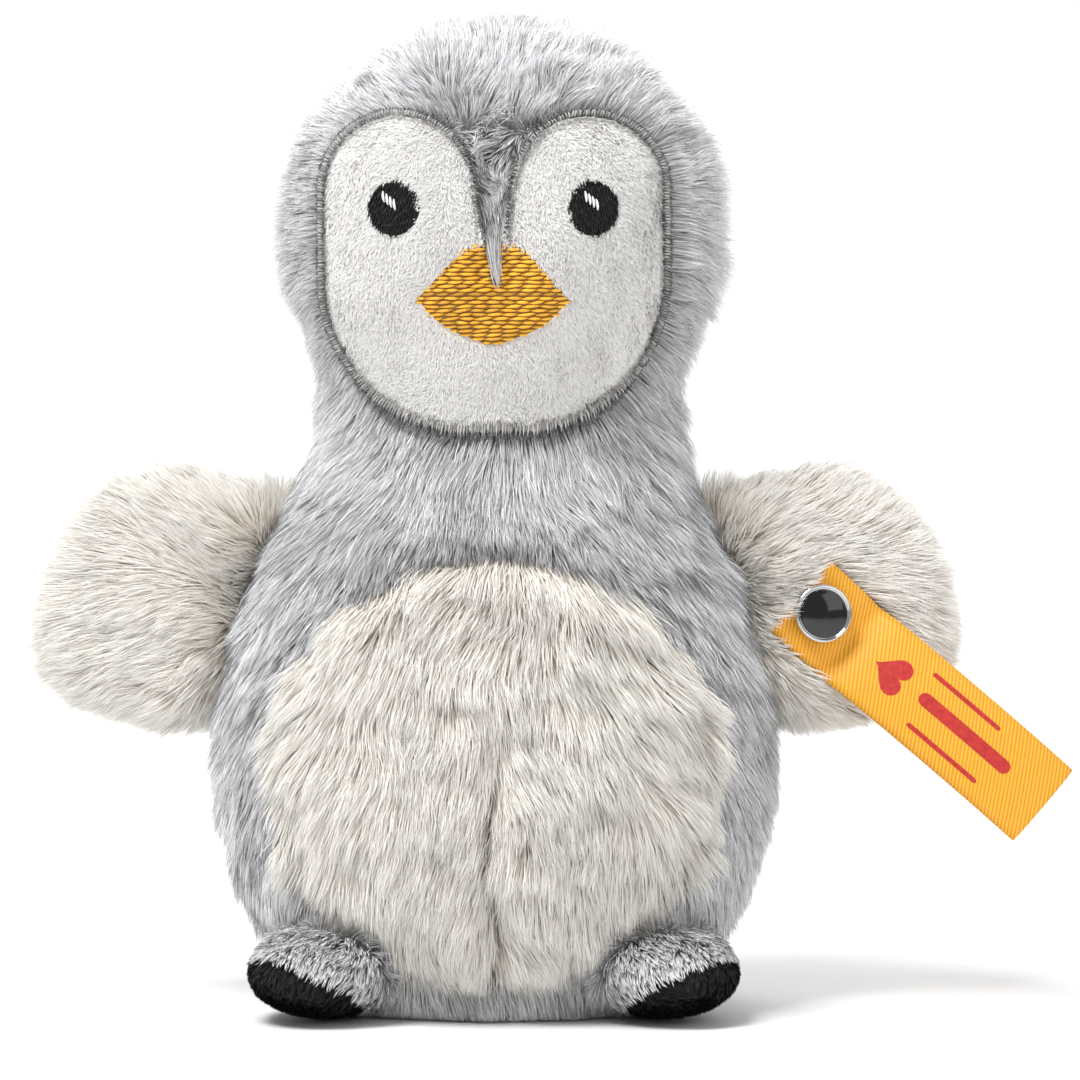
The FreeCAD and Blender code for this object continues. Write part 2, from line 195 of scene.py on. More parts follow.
def tree_of(*nodes):
    """One search tree over the surfaces of several CAD nodes."""
    places, faces = [], []
    for node in nodes:
        piece = frame["nodes"][node]
        faces.extend((triangles(piece) + len(places)).tolist())
        places.extend(coordinates(piece).tolist())
    return BVHTree.FromPolygons(places, faces)


def tree_from(piece):
    """A search tree over one mesh."""
    return BVHTree.FromPolygons(coordinates(piece).tolist(), triangles(piece).tolist())


def distances(tree, points):
    """How far each point is from a surface."""
    return np.array([tree.find_nearest(Vector(point))[3] for point in points])


def scatter(piece, per_mm2, random):
    """Random places and normals, evenly spread over a mesh."""
    corners, places, normals = triangles(piece), coordinates(piece), coordinates(piece, True)
    a, b, c = (places[corners[:, i]] for i in range(3))
    areas = np.linalg.norm(np.cross(b - a, c - a), axis=1) / 2
    count = int(areas.sum() / MM**2 * per_mm2)
    chosen = random.choice(len(areas), count, p=areas / areas.sum())
    u, v = random.random((2, count))
    u, v = np.where(u + v > 1, 1 - u, u), np.where(u + v > 1, 1 - v, v)
    shares = np.stack([1 - u - v, u, v], axis=1)[:, :, None]
    return (places[corners[chosen]] * shares).sum(1), unit((normals[corners[chosen]] * shares).sum(1))


# ---- materials
def plain(name, colour, roughness, **sockets):
    """A material with even sockets, for hair and thread, whose variety is in many shades."""
    material = bpy.data.materials.new(name)
    material.use_nodes = True
    shader = material.node_tree.nodes["Principled BSDF"]
    shader.inputs["Base Color"].default_value = (*colour, 1)
    shader.inputs["Roughness"].default_value = roughness
    for socket, value in sockets.items():
        shader.inputs[socket.replace("_", " ")].default_value = value
    return material


def shades(name, colour, spread, rows, roughness, count=4, **sockets):
    """Shades of one colour: count tones, each with one material per row from root to tip."""
    made = []
    for tone in range(count):
        lightness = 1 + spread * (2 * tone / (count - 1) - 1)
        for row, share in enumerate(rows):
            tint = [min(1.0, c * lightness * s) for c, s in zip(colour, share)]
            made.append(plain(f"{name}_{tone}{row}", tint, roughness, **sockets))
    return made


def nodes_of(material):
    """A material's shader, and functions that add nodes, join them, and raise a bump from a value."""
    tree = material.node_tree
    shader = tree.nodes["Principled BSDF"]

    def add(kind, **values):
        node = tree.nodes.new(kind)
        for key, value in values.items():
            if key in node.inputs:
                node.inputs[key].default_value = value
            else:
                setattr(node, key, value)
        return node

    def join(output, socket):
        tree.links.new(output, socket)

    def bump(value, strength, height):
        relief = add("ShaderNodeBump", Strength=strength, Distance=height)
        join(value, relief.inputs["Height"])
        join(relief.outputs["Normal"], shader.inputs["Normal"])

    return shader, add, join, bump


def ramp_of(add, low, high, dark, light):
    """A colour ramp from dark at low to light at high."""
    ramp = add("ShaderNodeValToRGB")
    for element, position, colour in zip(ramp.color_ramp.elements, (low, high), (dark, light)):
        element.position, element.color = position, (*colour, 1)
    return ramp


def woven(name, dark, light, scale, roughness):
    """Cloth or thread with a fine mottled colour and a matching bump."""
    material = plain(name, light, roughness)
    shader, add, join, bump = nodes_of(material)
    pattern = add("ShaderNodeTexNoise", Scale=scale)
    ramp = ramp_of(add, 0.3, 0.7, dark, light)
    join(add("ShaderNodeTexCoord").outputs["Object"], pattern.inputs["Vector"])
    join(pattern.outputs["Fac"], ramp.inputs["Fac"])
    join(ramp.outputs["Color"], shader.inputs["Base Color"])
    bump(pattern.outputs["Fac"], 0.3, 0.2 * MM)
    return material


ONE_ROW = ((1, 1, 1),)
# Root to tip rows: the darker roots are painted shade deep in the pile, the lighter tips painted light where
# the pile is lit.
GREY_ROWS = ((0.68, 0.67, 0.665), (0.88, 0.88, 0.88), (1.10, 1.10, 1.10))
CREAM_ROWS = ((0.88, 0.83, 0.76), (0.97, 0.95, 0.92), (1.02, 1.02, 1.02))
NAP_ROWS = ((0.94, 0.94, 0.94), (1.04, 1.04, 1.04))
GREY = shades("grey_hair", (0.665, 0.668, 0.678), 0.26, GREY_ROWS, 0.6, count=5)
CREAM = shades("cream_hair", (0.87, 0.845, 0.805), 0.08, CREAM_ROWS, 0.6)
WHITE = shades("white_nap", (0.88, 0.87, 0.85), 0.05, NAP_ROWS, 0.8)
# The black nap's rows too: painted shade at the root, painted light at the tip.
BLACK = shades("black_nap", (0.008, 0.008, 0.009), 0.5, ((0.7, 0.7, 0.7), (1.3, 1.3, 1.4)), 0.8)
GOLD = shades("gold_thread", (0.78, 0.40, 0.025), 0.26, ONE_ROW, 0.36, count=5)
BLACK_THREAD = shades("black_thread", (0.004, 0.004, 0.005), 0.5, ONE_ROW, 0.45, 3, Specular_IOR_Level=0.3)
GREY_THREAD = shades("grey_thread", (0.33, 0.32, 0.31), 0.35, ONE_ROW, 0.5, count=4)
DARK_THREAD = shades("dark_thread", (0.10, 0.10, 0.105), 0.3, ONE_ROW, 0.6, count=3)
WHITE_THREAD = shades("white_thread", (0.86, 0.86, 0.86), 0.05, ONE_ROW, 0.35, count=2)
# The grey and cream backings are far darker than their hair: painted shade in the depth between the tufts.
grey_backing = woven("grey_backing", (0.20, 0.205, 0.215), (0.30, 0.305, 0.32), 900, 0.9)
cream_backing = woven("cream_backing", (0.46, 0.39, 0.31), (0.62, 0.55, 0.46), 900, 0.9)
white_backing = woven("white_backing", (0.74, 0.72, 0.69), (0.86, 0.85, 0.83), 350, 0.9)
black_backing = woven("black_backing", (0.004, 0.004, 0.005), (0.010, 0.010, 0.011), 900, 0.9)
filling_fibre = woven("filling_fibre", (0.70, 0.70, 0.68), (0.92, 0.92, 0.90), 400, 0.95)
# The beak's base is dark brown: painted shade in the gaps between the gold stitches.
beak_gap_shade = woven("beak_gap_shade", (0.16, 0.062, 0.006), (0.28, 0.12, 0.012), 1500, 0.6)


# ---- stuffed skins
def grid_skin(name, rows, columns, material):
    """A skin from rings of points, bottom to top, with a pole at each end."""
    places = np.concatenate([[rows[0].mean(0)], *rows, [rows[-1].mean(0)]])
    ring = np.arange(columns)
    nxt = (ring + 1) % columns
    last = 1 + (len(rows) - 1) * columns
    caps = np.concatenate([
        np.stack([np.zeros(columns, int), 1 + nxt, 1 + ring], axis=1),
        np.stack([np.full(columns, len(places) - 1), last + ring, last + nxt], axis=1),
    ])
    return add_mesh(name, places, [ring_quads(len(rows), columns, start=1), caps], [material])


def first_hit(tree, target, way, reach=0.2):
    """Where a ray from outside, aimed at target against way, first meets a surface."""
    hit = tree.ray_cast(Vector(target + way * reach), Vector(-way))[0]
    return np.array(hit if hit is not None else target, float)


SKIN_COLUMNS, SKIN_PITCH = 150, 1.35 * MM


def figure_skin():
    """Head and torso as one skin, read off the CAD panels from outside."""
    tree = tree_of(
        "chest_skin", "belly_left", "belly_right", "back_left", "back_right", "base_panel", "neck_skin",
        "head_gusset", "head_left", "head_right", "face_patch", "face_edging", "torso_filling",
    )
    columns = SKIN_COLUMNS
    angles = np.arange(columns) * 2 * math.pi / columns
    ways = np.stack([np.cos(angles), np.sin(angles), np.zeros(columns)], axis=1)
    rim = np.array([first_hit(tree, mm(0, 0, 0.4), way) for way in ways])
    rows = [rim * (share, share, 0) + (0, 0, 0.05 * MM) for share in (0.25, 0.5, 0.75, 0.93)]
    for z in np.arange(0.4 * MM, HEAD_MIDDLE[2], SKIN_PITCH):
        rows.append(np.array([first_hit(tree, np.array([0, 0, z]), way) for way in ways]))
    for lift in np.radians(np.arange(0, 89, 3.2)):
        up = np.array([0, 0, math.sin(lift)])
        rows.append(np.array([first_hit(tree, HEAD_MIDDLE, way * math.cos(lift) + up) for way in ways]))
    # The skin's dark grey cloth is painted shade under the hair.
    return grid_skin("plush_skin", rows, columns, grey_backing)


def seen_from_front(trees, flat, lift=0.0):
    """Places on the first tree that each X and Z meets, raised by lift, and the normals there."""
    places, normals = np.empty((len(flat), 3)), np.empty((len(flat), 3))
    for row, (x, z) in enumerate(flat):
        for tree in trees:
            hit, normal, _, _ = tree.ray_cast(Vector((x, RAY_START, z)), BACKWARD)
            if hit is not None:
                break
        places[row], normals[row] = hit, normal
    normals *= -np.sign(normals[:, 1:2])
    return places + normals * (np.zeros(len(flat)) + lift)[:, None], normals


def relax(piece, rounds):
    """Evens out a mesh by moving each point towards its neighbours' middle."""
    edges = np.empty(len(piece.data.edges) * 2, np.int32)
    piece.data.edges.foreach_get("vertices", edges)
    edges = edges.reshape(-1, 2)
    places = coordinates(piece)
    counts = np.bincount(edges.ravel(), minlength=len(places))[:, None]
    for _ in range(rounds):
        total = np.zeros_like(places)
        np.add.at(total, edges[:, 0], places[edges[:, 1]])
        np.add.at(total, edges[:, 1], places[edges[:, 0]])
        places = 0.5 * places + 0.5 * total / counts
    set_coordinates(piece, places)


SIM_SCALE = 5.0
SIM_FRAMES = 20
CLOTH_MASS, CLOTH_STIFFNESS = 0.002, 3


def stuff(piece, held, cap, pressure):
    """Fills a skin by cloth simulation: held points stay, the others swell by at most cap."""
    start = coordinates(piece)
    set_coordinates(piece, start * SIM_SCALE)
    group = piece.vertex_groups.new(name="seams")
    group.add(np.flatnonzero(held).tolist(), 1.0, "REPLACE")
    cloth = piece.modifiers.new("stuffing", "CLOTH")
    cloth.settings.quality = 4
    cloth.settings.use_pressure = True
    cloth.settings.uniform_pressure_force = pressure
    cloth.settings.vertex_group_mass = "seams"
    cloth.settings.mass = CLOTH_MASS
    cloth.settings.tension_stiffness = cloth.settings.compression_stiffness = CLOTH_STIFFNESS
    cloth.settings.effector_weights.gravity = 0
    cloth.collision_settings.use_collision = False
    cloth.point_cache.frame_end = SIM_FRAMES
    for number in range(1, SIM_FRAMES + 1):
        bpy.context.scene.frame_set(number)
    result = piece.evaluated_get(bpy.context.evaluated_depsgraph_get()).to_mesh()
    swollen = np.empty(len(result.vertices) * 3, np.float32)
    result.vertices.foreach_get("co", swollen)
    moved = swollen.reshape(-1, 3).astype(float) / SIM_SCALE - start
    piece.modifiers.remove(cloth)
    piece.vertex_groups.remove(group)
    bpy.context.scene.frame_set(1)
    size = np.linalg.norm(moved, axis=1, keepdims=True)
    moved *= np.minimum(1, cap / np.maximum(size, 1e-9))
    set_coordinates(piece, start + moved)


def belly_share(points):
    """Below 1 inside the belly panel's outline, above 1 outside it."""
    middle = (BELLY_LOW + BELLY_HIGH) / 2
    across, up = points[:, 0] / (BELLY_HALF - 1.5 * MM), (points[:, 2] - middle) / (BELLY_HIGH - middle)
    return np.where(points[:, 1] < 0, np.hypot(across, up), 9.0)


def seam_distance(points):
    """How far each point of the figure is from the nearest seam of its skin."""
    x, y, z = points.T
    belly = np.abs(belly_share(points) - 1) * BELLY_HALF
    low_belly = (belly_share(points) < 1) & (z < BELLY_LOW + 0.62 * (BELLY_HIGH - BELLY_LOW))
    centre = np.where(low_belly, np.abs(x), 1)
    side = np.where(z < NECK_LOW, np.abs(y), 1)
    back = np.where((y > 0) & (z < NECK_LOW), np.abs(x), 1)
    gusset = np.where((y > -5 * MM) & (z > NECK_HIGH), np.abs(np.abs(x) - GUSSET_HALF), 1)
    return np.minimum.reduce([belly, centre, side, back, gusset, np.abs(z - BASE_TOP)])


ROOT_DEPTH = 2.0 * MM
FRINGE_TOP = 0.9 * MM
CROWN_EXTRA = 1.1 * MM
SEAM_DEPTH = 1.2 * MM

skin = figure_skin()
relax(skin, 4)
on_base = coordinates(skin)[:, 2] < 0.3 * MM
stuff(skin, on_base | (seam_distance(coordinates(skin)) < 0.8 * MM), cap=0.9 * MM, pressure=12.0)
relax(skin, 2)
outer = add_mesh("outer_guide", coordinates(skin), [triangles(skin)], [])
outer_tree = tree_from(outer)


def sink_roots(piece, depth, seams):
    """Moves a skin in to where the hair grows from, deeper along its seams, and keeps it off the table."""
    places, normals = coordinates(piece), coordinates(piece, True)
    groove = np.exp(-((seams / (1.6 * MM)) ** 2)) * SEAM_DEPTH * smooth_step(2 * MM, 8 * MM, places[:, 2])
    places -= normals * (depth + groove)[:, None]
    places[:, 2] = np.maximum(places[:, 2], 0.1 * MM)
    set_coordinates(piece, places)


heights = coordinates(skin)[:, 2]
crown_share = smooth_step(HEAD_MIDDLE[2] + 8 * MM, HEAD_TOP - 3 * MM, heights)
off_floor = 0.1 + 0.9 * smooth_step(0, 5 * MM, heights)
sink_roots(skin, (ROOT_DEPTH + CROWN_EXTRA * crown_share) * off_floor, seam_distance(coordinates(skin)))


# ---- hair
ROWS = np.array([0.0, 0.4, 0.75, 1.0])
TAPER = (0.85, 1.0, 0.72, 0.0)  # Share of a strand's width at each row
MOST_STRANDS = 39500


def grow(roots, normals, flow, length, lift, sweep=0.25, droop=0.1, settle=0.12, clumps=(), jitter=0.16,
         seed=1):
    """Hair curves, as an array of places along each strand.

    Each strand starts at an angle lift above the flow, then sweeps along it, droops and settles. It then
    leans towards the strand that leads its clump; clumps lists (strands per clump, pull at the tip).
    """
    random = np.random.default_rng(seed)
    count = len(roots)
    flow = tangential(flow + random.normal(size=(count, 3)) * jitter, normals)
    lift = lift + random.normal(size=count) * 0.10
    length = length * random.uniform(0.78, 1.12, count)
    start = flow * np.cos(lift)[:, None] + normals * np.sin(lift)[:, None]
    bend = flow * sweep + DOWN * droop - normals * settle
    t = ROWS[None, :, None]
    curves = roots[:, None] + length[:, None, None] * (start[:, None] * t + bend[:, None] * t**2)
    for per_clump, pull in clumps:
        leaders = random.choice(count, max(1, count // per_clump), replace=False)
        finder = KDTree(len(leaders))
        for index, leader in enumerate(leaders):
            finder.insert(roots[leader], index)
        finder.balance()
        nearest = leaders[[finder.find(root)[1] for root in roots]]
        strength = pull * random.uniform(0.6, 1.25, count)[:, None, None]
        curves = curves + np.minimum(strength, 0.95) * t**1.5 * (curves[nearest] - curves)
    curl = random.normal(size=(count, 1, 3)) * 0.035 * length[:, None, None]
    curves = curves + curl * np.sin(t * math.pi)
    curves[:, :, 2] = np.maximum(curves[:, :, 2], 0.15 * MM)
    return curves


def hair(name, curves, normals, width, tone, materials, rows_of_shade=3, seed=2):
    """One mesh of flat tapered strands that follow the curves."""
    random = np.random.default_rng(seed)
    count = len(curves)
    tangents = unit(np.gradient(curves, axis=1))
    side = unit(np.cross(tangents, normals[:, None]))
    up = np.cross(side, tangents)
    roll = random.uniform(-0.9, 0.9, count)[:, None, None]
    side = side * np.cos(roll) + up * np.sin(roll)
    half = (width / 2 * np.array(TAPER))[None, :, None] * random.uniform(0.8, 1.2, (count, 1, 1))
    left, right = curves - side * half, curves + side * half
    places = np.concatenate([left[:, :3], right[:, :3], curves[:, 3:]], axis=1)
    base = np.arange(count)[:, None] * 7
    quads = [base + np.array([row, row + 3, row + 4, row + 1]) for row in range(2)]
    tips = base + np.array([2, 5, 6])
    shade_rows = [0, 1, 2] if rows_of_shade == 3 else [0, 0, 1]
    indices = np.concatenate([tone * rows_of_shade + row for row in shade_rows])
    return add_mesh(name, places.reshape(-1, 3), [np.concatenate(quads), tips], materials, indices)


def tones(roots, count, patch, seed, bias=0.0):
    """A shade for every strand: mostly chance, partly patches, moved by bias."""
    random = np.random.default_rng(seed)
    value = 0.5 + 0.22 * wobble(roots, patch, seed) + 0.28 * random.normal(size=len(roots)) + bias
    return np.clip((value * count).astype(int), 0, count - 1)


def coat_pieces(name, curves, normals, width, tone, materials, node, rows_of_shade=3):
    """Hair meshes that hold one coat between them, none larger than a piece may be."""
    made = []
    parts = max(1, math.ceil(len(curves) / MOST_STRANDS))
    for part in range(parts):
        rows = slice(part, None, parts)
        piece = hair(f"{name}_{part + 1}", curves[rows], normals[rows], width, tone[rows], materials,
                     rows_of_shade, seed=part)
        if part == 0 and node:
            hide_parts(node)
        made.append(piece)
    return made


# ---- face outline
LOBE_INNER = 2.5 * MM
CHEEK_RADIUS = 16.8 * MM
NOTCH_Z, NOTCH_HALF, NOTCH_LOW = 87.2 * MM, 1.5 * MM, 86.2 * MM
STAR_MIDDLE = mm(0, 84)


def arc_points(middle, radius, start, end, count):
    """Points on an arc in X and Z, angles in degrees."""
    angles = np.radians(np.linspace(start, end, count))
    return np.stack([middle[0] + radius * np.cos(angles), middle[1] + radius * np.sin(angles)], axis=1)


def face_outline(grow_by=0.0):
    """The face patch's closed outline in X and Z, as in CAD: two lobes over a round chin."""
    radius = (FACE_HALF - LOBE_INNER) / 2
    lobe = np.array([(FACE_HALF + LOBE_INNER) / 2, FACE_HIGH - radius])
    cheek = np.array([FACE_HALF - CHEEK_RADIUS, FACE_LOW + CHEEK_RADIUS])
    to_lobe = lobe - (NOTCH_HALF, NOTCH_Z)
    angle = math.degrees(math.atan2(to_lobe[1], to_lobe[0]) + math.asin(radius / np.hypot(*to_lobe)))
    notch = np.array([[0.0, NOTCH_LOW + grow_by], [NOTCH_HALF - grow_by, NOTCH_Z]])
    lobe_arc = arc_points(lobe, radius + grow_by, angle + 90, 0, 50)
    cheek_arc = arc_points(cheek, CHEEK_RADIUS + grow_by, 0, -90, 40)
    right = np.concatenate([notch, lobe_arc, cheek_arc])
    return np.concatenate([right, right[:0:-1] * (-1, 1)])


def resampled(loop, pitch):
    """Evenly spaced points on a closed loop, and the outward direction at each."""
    closed = np.concatenate([loop, loop[:1]])
    steps = np.linalg.norm(np.diff(closed, axis=0), axis=1)
    along = np.concatenate([[0], np.cumsum(steps)])
    places = np.arange(0, along[-1], pitch)
    points = np.stack([np.interp(places, along, closed[:, i]) for i in range(2)], axis=1)
    run = unit(np.roll(points, -1, axis=0) - np.roll(points, 1, axis=0))
    return points, np.stack([-run[:, 1], run[:, 0]], axis=1)


def inside_loop(loop, x, z):
    """Which of the points lie inside a closed loop."""
    inside = np.zeros(len(x), bool)
    for (x0, z0), (x1, z1) in zip(loop, np.roll(loop, -1, axis=0)):
        crosses = (z0 > z) != (z1 > z)
        reach = (x1 - x0) * (z - z0) / (z1 - z0 if z1 != z0 else 1e-12) + x0
        inside ^= crosses & (x < reach)
    return inside


def distance_to_loop(loop, x, z):
    """Distance from points to a dense loop's points."""
    gaps = np.full(len(x), 1.0)
    for px, pz in resampled(loop, 0.5 * MM)[0]:
        gaps = np.minimum(gaps, np.hypot(x - px, z - pz))
    return gaps


# ---- coat of the figure
def panel_of(points, normals):
    """The panel that each point of the figure belongs to."""
    x, y, z = points.T
    panel = np.full(len(points), "back_right", dtype="U12")
    panel[(y > 0) & (x > 0)] = "back_left"
    panel[y <= 0] = "chest"
    panel[(belly_share(points) < 1) & (x > 0)] = "belly_left"
    panel[(belly_share(points) < 1) & (x <= 0)] = "belly_right"
    panel[z < FRINGE_TOP] = "base"
    panel[z > NECK_LOW] = "neck"
    head = z > NECK_HIGH
    panel[head] = np.where(x[head] > 0, "head_left", "head_right")
    on_gusset = head & (np.abs(x) < GUSSET_HALF) & ((y > 0) | (z > FACE_LOW + 15 * MM))
    panel[on_gusset] = "gusset"
    rows = np.flatnonzero(head & (y < 0))
    above = points[rows] + normals[rows] * ROOT_DEPTH
    panel[rows[inside_loop(face_outline(-0.2 * MM), above[:, 0], above[:, 2])]] = "face"
    return panel


WEDGE_TOP = 103 * MM
FACE_FRONT = mm(0, -21, 90)
HAIR_WIDTH = 0.115 * MM
FIGURE_PER_MM2, WING_PER_MM2, FOOT_PER_MM2 = 19, 30, 18

roots, root_normals = scatter(skin, FIGURE_PER_MM2, rng)
panels = panel_of(roots, root_normals)
rim = np.linalg.norm(roots[:, :2], axis=1) > 0.92 * np.linalg.norm(roots[panels == "base", :2], axis=1).max()
keep = (panels != "face") & ((panels != "base") | rim)
roots, root_normals, panels = roots[keep], root_normals[keep], panels[keep]
above = roots + root_normals * ROOT_DEPTH
face_gap = distance_to_loop(face_outline(), above[:, 0], above[:, 2])
face_gap[roots[:, 1] > 0] = 1


def head_and_body_flow(share):
    """The way the hair is combed: out from the face on the head, down and outwards on the body."""
    x, y, z = roots.T
    on_head = smooth_step(NECK_LOW - 1 * MM, NECK_HIGH + 5 * MM, z)[:, None]
    away = unit(roots - FACE_FRONT)
    backward = smooth_step(2 * MM, 20 * MM, y)[:, None]
    head_way = unit(away * (1 - 0.75 * backward) + DOWN * (0.2 + 0.8 * backward))
    spread = 0.3 + 0.7 * smooth_step(14 * MM, 40 * MM, z)
    body_way = unit(np.stack([x / (27 * MM) * spread, y / (80 * MM), np.full(len(x), -1.0)], axis=1))
    way = unit(head_way * on_head + body_way * (1 - on_head))
    low_belly = (share < 1) & (z < BELLY_LOW + 0.6 * (BELLY_HIGH - BELLY_LOW))
    parting = np.where(low_belly, np.exp(-np.abs(x) / (2.4 * MM)), 0)
    way[:, 0] += np.sign(x) * parting * 0.4
    return way, on_head[:, 0], parting


def figure_coat():
    """Flow, length, lift and shade of the hair all over the figure."""
    x, y, z = roots.T
    share = belly_share(roots)
    belly = share < 1
    way, on_head, parting = head_and_body_flow(share)
    in_wedge = (panels == "gusset") & (y < 0) & (z < WEDGE_TOP + 8 * MM)
    wedge = np.where(in_wedge, 1 - smooth_step(WEDGE_TOP - 6 * MM, WEDGE_TOP + 8 * MM, z), 0)
    wedge_way = unit(np.stack([-x / (9 * MM), np.full(len(x), -0.15), np.full(len(x), -1.0)], axis=1))
    way = unit(way * (1 - wedge)[:, None] + wedge_way * wedge[:, None])
    crown = smooth_step(HEAD_MIDDLE[2] + 6 * MM, HEAD_TOP - 4 * MM, z)
    swirl = np.where(belly, 0.5, 0.24) * wobble(roots, 13 * MM, 5) + 0.22 * wobble(roots, 4.5 * MM, 6)
    swirl += (0.1 + 0.6 * crown + 0.6 * wedge + 2 * wedge * (1 - wedge)) * wobble(roots, 5 * MM, 7)
    flow = turned(tangential(way, root_normals), root_normals, swirl)

    edge = np.abs(share - 1) * BELLY_HALF
    above_belly = np.where(~belly & (y < 0) & (z > BELLY_LOW + 15 * MM), 1 - smooth_step(0, 6 * MM, edge), 0)
    low_edge = np.where(belly & (z < BELLY_LOW + 14 * MM), 1 - smooth_step(0, 6 * MM, edge), 0)
    near_face = np.where(z > NECK_HIGH, 1 - smooth_step(0, 5 * MM, face_gap), 0)
    near_floor = 1 - smooth_step(0, 9 * MM, z)
    length = np.where(belly, 6.4, 6.1) * MM * (1 + 0.12 * wobble(roots, 6 * MM, 8))
    length *= (1 - 0.5 * wedge) * (1 - 0.15 * parting) * (1 - 0.42 * above_belly) * (1 - 0.35 * low_edge)
    length *= (1 - 0.3 * near_face) * (1 - 0.58 * near_floor) * (1 + 0.2 * on_head * x / FACE_HALF)
    lift = 0.70 + 0.12 * wobble(roots, 5 * MM, 9) + 0.06 * belly + 0.22 * crown + 0.14 * on_head
    lift += 0.12 * above_belly - 0.30 * wedge + 1.6 * wedge * (1 - wedge)
    # The crown is lighter: partly its paler grey, partly painted light on the top of the head. Hair along the
    # face's edge is darker: painted shade at the patch's sunken edge.
    bias = 0.38 * crown + 0.02 * on_head - 0.30 * near_face * (1 - crown) - 0.12 * wedge
    # A darker band across the chest under the chin: partly its own darker grey, partly painted shadow under
    # the head.
    bias -= np.where((y < 0) & ~belly, 0.20 * np.exp(-(((z - 58 * MM) / (5 * MM)) ** 2)), 0)
    bias += 0.25 * near_floor
    return flow, length, lift, bias


coat_flow, coat_length, coat_lift, coat_bias = figure_coat()
coat = grow(roots, root_normals, coat_flow, coat_length, coat_lift, clumps=((70, 0.24), (9, 0.38)), seed=31)

PANELS = {
    "chest": ("chest_skin", "grey_plush", GREY),
    "belly_left": ("belly_left", "cream_plush", CREAM),
    "belly_right": ("belly_right", "cream_plush", CREAM),
    "back_left": ("back_left", "grey_plush", GREY),
    "back_right": ("back_right", "grey_plush", GREY),
    "base": (None, "grey_plush", CREAM),
    "neck": ("neck_skin", "grey_plush", GREY),
    "head_left": ("head_left", "grey_plush", GREY),
    "head_right": ("head_right", "grey_plush", GREY),
    "gusset": ("head_gusset", "grey_plush", GREY),
}


def cross_neck(piece):
    """Bakes a piece's transform into its mesh."""
    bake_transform(piece)


for panel, (node, finish, materials) in PANELS.items():
    rows = np.flatnonzero(panels == panel)
    tone = tones(roots[rows], len(materials) // 3, 7 * MM, 32, coat_bias[rows])
    for piece in coat_pieces(panel + "_hair", coat[rows], root_normals[rows], HAIR_WIDTH, tone, materials,
                             node):
        cross_neck(piece)


def brow_lock():
    """A pointed lock that hangs from between the lobes over the top of the beak."""
    random = np.random.default_rng(41)
    count = 420
    x = random.normal(0, 0.75 * MM, count)
    z = random.uniform(88.5 * MM, 93.5 * MM, count)
    starts, normals = seen_from_front([skin_tree], np.stack([x, z], axis=1))
    aim = mm(0.6, 0, 87.2)
    way = aim - starts
    way[:, 1] = 0
    reach = np.linalg.norm(way, axis=1) * random.uniform(0.85, 1.1, count)
    flow = tangential(way, normals)
    curves = grow(starts, normals, flow, reach, np.full(count, 0.75), sweep=0.4, droop=0.1, settle=0.45,
                  clumps=((210, 0.45),), jitter=0.05, seed=42)
    # The lock's tones are moved darker: partly its grey, partly painted shade.
    tone = tones(starts, 5, 4 * MM, 43, -0.42)
    for piece in coat_pieces("brow_lock", curves, normals, HAIR_WIDTH, tone, GREY,
                             "head_gusset"):
        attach(piece, "head")


skin_tree = tree_from(skin)
brow_lock()


def colour_belly(piece):
    """Gives the belly's backing its own cloth, a dark beige that is painted shade between the cream tufts."""
    piece.data.materials.append(cream_backing)
    inside = belly_share(face_centres(piece)) < 1
    piece.data.polygons.foreach_set("material_index", inside.astype(np.int32))


colour_belly(skin)
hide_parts("base_panel")
cross_neck(skin)


# ---- face
FACE_PUFF = 0.8 * MM
FACE_EDGE_SINK = 0.9 * MM


def face_height(gap):
    """Height of the face patch above the figure, by distance from its edge."""
    return -FACE_EDGE_SINK + (FACE_EDGE_SINK + FACE_PUFF) * np.sqrt(smooth_step(0, 7 * MM, gap))


def face_patch():
    """The padded white patch, as rings that follow its outline."""
    loop = face_outline()
    points, _ = resampled(loop, 0.75 * MM)
    shares = np.concatenate([np.linspace(0.04, 0.86, 20), [0.91, 0.95, 0.98, 1.0]])
    flat = shrunk(points, STAR_MIDDLE, shares)
    gap = distance_to_loop(loop, flat[:, 0], flat[:, 1])
    places, _ = seen_from_front([outer_tree], flat, face_height(gap))
    return disc("face_cloth", places, len(points), white_backing, FORWARD)


face = face_patch()
face_tree = tree_from(face)
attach(face, "head")


def on_face(flat, lift=0.0):
    """Places on the face patch, or on the head beside it, raised by lift, and the normals there."""
    return seen_from_front([face_tree, outer_tree], flat, lift)


# ---- embroidery
def threads(name, paths, ups, radius, materials, tone, sides=6):
    """Short round threads, one closed tube for each path, pinched at both ends."""
    count, steps = paths.shape[:2]
    tangents = unit(np.gradient(paths, axis=1))
    side = unit(np.cross(tangents, ups))
    up = np.cross(side, tangents)
    pinch = np.full(steps, 1.0)
    pinch[0] = pinch[-1] = 0.45
    turns = np.arange(sides) * 2 * math.pi / sides
    ring = side[:, :, None] * np.cos(turns)[:, None] + up[:, :, None] * np.sin(turns)[:, None]
    places = paths[:, :, None] + ring * (np.zeros(count) + radius)[:, None, None, None] * pinch[:, None, None]
    spot = np.arange(sides)
    quads = ring_quads(steps, sides)
    caps = np.stack([spot[::-1], (steps - 1) * sides + spot])
    base = np.arange(count)[:, None, None] * steps * sides
    indices = np.concatenate([np.repeat(tone, len(quads)), np.repeat(tone, 2)])
    polygons = [(base + quads).reshape(-1, 4), (base + caps).reshape(-1, sides)]
    return add_mesh(name, places.reshape(-1, 3), polygons, materials, indices)


